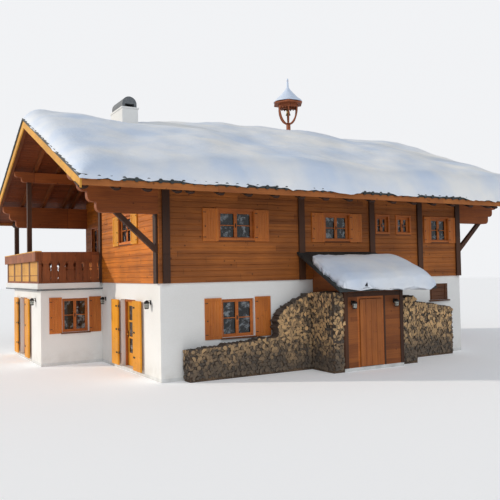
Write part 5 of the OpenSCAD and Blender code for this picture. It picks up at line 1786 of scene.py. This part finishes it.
@dataclass
class WoodStacks:
    """Split logs laid over the faces of the two stacks.

    Attributes:
        pitch: Distance between two logs.
        length: Length of a log.
        sizes: Smallest and largest scale of a log.
        left_block: Width of the stack against the porch's left side.
        right_block: Width of the stack against the porch's right side.
        inside: How far behind a face its height is read.
        fine: Step along a stack's top line.
        top: Height above which no stack reaches.
        seed: Seed of the random draws.
        kinds: Arc, corners on the arc and radius of each kind of log.
    """

    pitch: float = 0.098
    length: float = 0.33
    sizes: Span = (0.8, 1.22)
    left_block: float = 0.38
    right_block: float = 0.75
    inside: float = 0.03
    fine: float = 0.01
    top: float = 2.6
    seed: int = 7
    kinds: ClassVar[dict[str, tuple[float, int, float]]] = {
        "round": (2 * math.pi, 9, 0.055),
        "half": (math.pi, 6, 0.08),
        "quarter": (math.pi / 2, 4, 0.1),
    }

    def __post_init__(self) -> None:
        """Gather the plain stacks' faces."""
        self.tree = tree_of("firewood")
        self.low, self.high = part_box("firewood")

    def build(self) -> None:
        """Lay the logs on every open face of the stacks."""
        dress(Coat.STACK_SHADE, "firewood")
        shapes = bpy.data.collections.new("log_shapes")
        for name, kind in self.kinds.items():
            shapes.objects.link(bpy.data.objects.new("log_" + name, self.log("log_" + name, *kind)))
        draw = random.Random(self.seed)
        meshes = []
        for number, (face, wide, height) in enumerate(self.faces()):
            spots = self.points(wide, height, draw)
            mesh = bpy.data.meshes.new("spots")
            mesh.from_pydata([face.at(u, draw.uniform(0.0, 0.045), z) for u, z in spots], [], [])
            turn = Vector(face.out.to_track_quat("Z", "Y").to_euler())
            meshes.append(run_tree(mesh, pile_tree(), Logs=shapes, Seed=self.seed + number, Turn=turn,
                                   Smallest=self.sizes[0], Largest=self.sizes[1],
                                   Material=Coat.LOG_ENDS.material))
        adopt(join(meshes, "stacked_logs"), "stacked_logs", Coat.LOG_ENDS, "firewood")

    def log(self, name: str, arc: float, corners: int, radius: float) -> bpy.types.Mesh:
        """Make one kind of log end.

        Args:
            name: The mesh's name.
            arc: The angle that its bark takes up.
            corners: Number of corners on the arc.
            radius: Its radius.

        Returns:
            The mesh, which notes how near the bark each point is.
        """
        closed = arc > 6
        angles = [arc * i / (corners if closed else corners - 1) for i in range(corners)]
        points = [Vector((math.cos(a), math.sin(a), 0)) for a in angles] + [Vector()] * (not closed)
        middle = sum(points, Vector()) / len(points)
        bm = bmesh.new()
        core = bm.verts.layers.float.new("core")
        rings = []
        for scale, height, mark in ((1.0, -self.length, 1.0), (1.0, 0.0, 1.0), (0.9, 0.006, 0.85)):
            rings.append([bm.verts.new((p - middle) * radius * scale + Z * height) for p in points])
            for vert in rings[-1]:
                vert[core] = mark
        hub = bm.verts.new(Z * 0.007)
        hub[core] = 0.0
        for i, j in ((i, (i + 1) % len(points)) for i in range(len(points))):
            for low, high in zip(rings, rings[1:]):
                bm.faces.new((low[i], low[j], high[j], high[i]))
            bm.faces.new((rings[2][i], rings[2][j], hub))
        bm.faces.new(rings[0][::-1])
        return to_mesh(bm, name, outward=False)

    def points(self, wide: float, height: Callable[[float], float], draw: random.Random) -> list[Span]:
        """Scatter points over a stack's face in staggered rows, and along its top line.

        Args:
            wide: Width of the face.
            height: Height of the stack at each place along it.
            draw: The random draws.

        Returns:
            Places along and up the face.
        """
        spots = []
        row, z = 0, self.kinds["quarter"][2] * 1.2
        while z < self.top:
            u = self.pitch * (0.5 if row % 2 else 1.0)
            while u < wide - self.pitch * 0.3:
                if z < height(u) + 0.01:
                    spots.append((u + draw.uniform(-0.016, 0.016), z + draw.uniform(-0.014, 0.014)))
                u += self.pitch
            z += self.pitch * 0.87
            row += 1
        walked, last = 0.0, height(0.0)
        for i in range(int(wide / self.fine)):
            u = i * self.fine
            rise = height(u) - last
            steps = max(1, round(abs(rise) / self.fine))
            for j in range(steps):
                walked += math.hypot(self.fine / steps, rise / steps)
                if walked > self.pitch * 0.8:
                    walked = 0.0
                    spots.append((u, last + rise * (j + 1) / steps - draw.uniform(0.0, 0.03)))
            last += rise
        return spots

    def front(self, x: float) -> float:
        """Read where the stacks' front face is at a place along the house."""
        return self.tree.ray_cast(Vector((x, self.low.y - 1, 0.3)), Y)[0].y

    def height(self, start: Vector, way: Vector, u: float) -> float:
        """Read a stack's height at the place u along a line on the ground."""
        hit = self.tree.ray_cast(start + way * u + Z * (self.high.z + 1), -Z)[0]
        return hit.z if hit else 0.0

    def faces(self) -> list[tuple[Face, float, Callable[[float], float]]]:
        """Find the open faces of the stacks.

        Returns:
            Each face, its width, and the stack's height along it.
        """
        low, high, front = self.low, self.high, self.front
        porch_low, porch_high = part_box("porch_walls")
        left, right = porch_low.x - self.left_block, porch_high.x + self.right_block
        lines = []
        for start, end in ((low.x, left), (left, porch_low.x), (porch_high.x, right), (right, high.x)):
            lines.append((Vector((start, front((start + end) / 2), 0)), X, -Y, end - start))
        for x, near, deep, out in (
            (left, front(left + 0.1), front(left - 0.1), -X),
            (right, front(right - 0.1), front(right + 0.1), X),
            (low.x, front(low.x + 0.1), high.y, -X),
            (high.x, front(high.x - 0.1), high.y, X),
        ):
            lines.append((Vector((x, near, 0)), Y, out, deep - near))
        return [
            (Face(corner, way, out), wide, functools.partial(self.height, corner - out * self.inside, way))
            for corner, way, out, wide in lines
        ]


# Stage


@dataclass(frozen=True)
class Lamp:
    """A far lamp like the sun.

    Attributes:
        name: Its name.
        way: The way its light travels.
        strength: Its strength.
        colour: Its colour in linear light.
        angle: Its apparent size in degrees.
    """

    name: str
    way: tuple[float, float, float]
    strength: float
    colour: tuple[float, float, float]
    angle: float

    def build(self) -> None:
        """Put the lamp in the scene."""
        data = bpy.data.lights.new(self.name, "SUN")
        data.energy = self.strength
        data.color = self.colour
        data.angle = math.radians(self.angle)
        place(self.name, data).rotation_euler = Vector(self.way).to_track_quat("-Z", "Y").to_euler()


@dataclass
class Stage:
    """Floor, light and camera.

    Attributes:
        camera_at: Place of the camera.
        yaw: Turn of the view from +Y toward +X, in radians.
        pitch: Tilt of the view above level.
        roll: Roll of the view.
        lens: Focal length in millimetres on a 36 mm sensor.
        sky: Colour and strength of the light from all round.
        backdrop: Colour and strength of the background that shows.
        floor_half: Half the floor's width.
    """

    camera_at: tuple[float, float, float] = (-12.227, -21.01, 2.916)
    yaw: float = 0.5249
    pitch: float = 0.03417
    roll: float = -0.01916
    lens: float = 46.25
    sky: tuple[Colour, float] = ((0.82, 0.90, 1.0, 1.0), 0.34)
    backdrop: tuple[Colour, float] = ((0.93, 0.94, 0.96, 1.0), 0.95)
    floor_half: float = 140.0

    def build(self) -> None:
        """Set up the stage."""
        bpy.context.scene.view_settings.view_transform = "Standard"
        self.floor()
        self.surroundings()
        Lamp("key", (0.77, -0.50, -0.37), 2.2, (1.0, 0.93, 0.83), 2.0).build()
        Lamp("fill", (0.18, 0.85, -0.50), 0.88, (0.94, 0.97, 1.0), 50.0).build()
        self.camera()

    def floor(self) -> None:
        """Lay the plain pale floor."""
        bm = bmesh.new()
        bmesh.ops.create_grid(bm, x_segments=1, y_segments=1, size=self.floor_half)
        floor = place("floor", to_mesh(bm, "floor", outward=False))
        floor.location.z = -0.002
        floor.data.materials.append(Coat.FLOOR_PAPER.material)

    def surroundings(self) -> None:
        """Light the house softly from all round, before a pale background."""
        world = bpy.data.worlds.new("studio")
        bpy.context.scene.world = world
        world.use_nodes = True
        graph = Graph(world.node_tree)
        back, end = (world.node_tree.nodes[name] for name in ("Background", "World Output"))
        graph.feed(back, dict(zip(("Color", "Strength"), self.sky)))
        seen = graph.first("ShaderNodeBackground", dict(zip(("Color", "Strength"), self.backdrop)))
        path = graph.add("ShaderNodeLightPath").outputs
        shown = graph.math("MAXIMUM", path["Is Camera Ray"], path["Is Glossy Ray"])
        shown = graph.math("MAXIMUM", shown, path["Is Transmission Ray"])
        both = graph.first("ShaderNodeMixShader", {0: shown, 1: back.outputs[0], 2: seen})
        graph.feed(end, {"Surface": both})

    def camera(self) -> None:
        """Place the camera."""
        level = Vector((math.sin(self.yaw), math.cos(self.yaw), 0)) * math.cos(self.pitch)
        ahead = level + Z * math.sin(self.pitch)
        right = Vector((math.cos(self.yaw), -math.sin(self.yaw), 0))
        up = right.cross(ahead)
        c, s = math.cos(self.roll), math.sin(self.roll)
        data = bpy.data.cameras.new("camera")
        data.lens = self.lens
        data.sensor_width = 36.0
        data.clip_end = 500.0
        matrix = Matrix((c * right + s * up, c * up - s * right, -ahead)).transposed().to_4x4()
        matrix.translation = Vector(self.camera_at)
        camera = place("camera", data)
        camera.matrix_world = matrix
        bpy.context.scene.camera = camera


def main() -> None:
    """Build the house's looks in order."""
    logging.basicConfig(level=logging.INFO, format="%(name)s: %(message)s")
    for part in (Walls(), Windows(), Shutters(), Doors(), Balcony(), Roof(), SnowBlankets(), Turret(),
                 Lanterns(), WoodStacks(), Stage()):
        part.build()


if __name__ == "__main__":
    main()
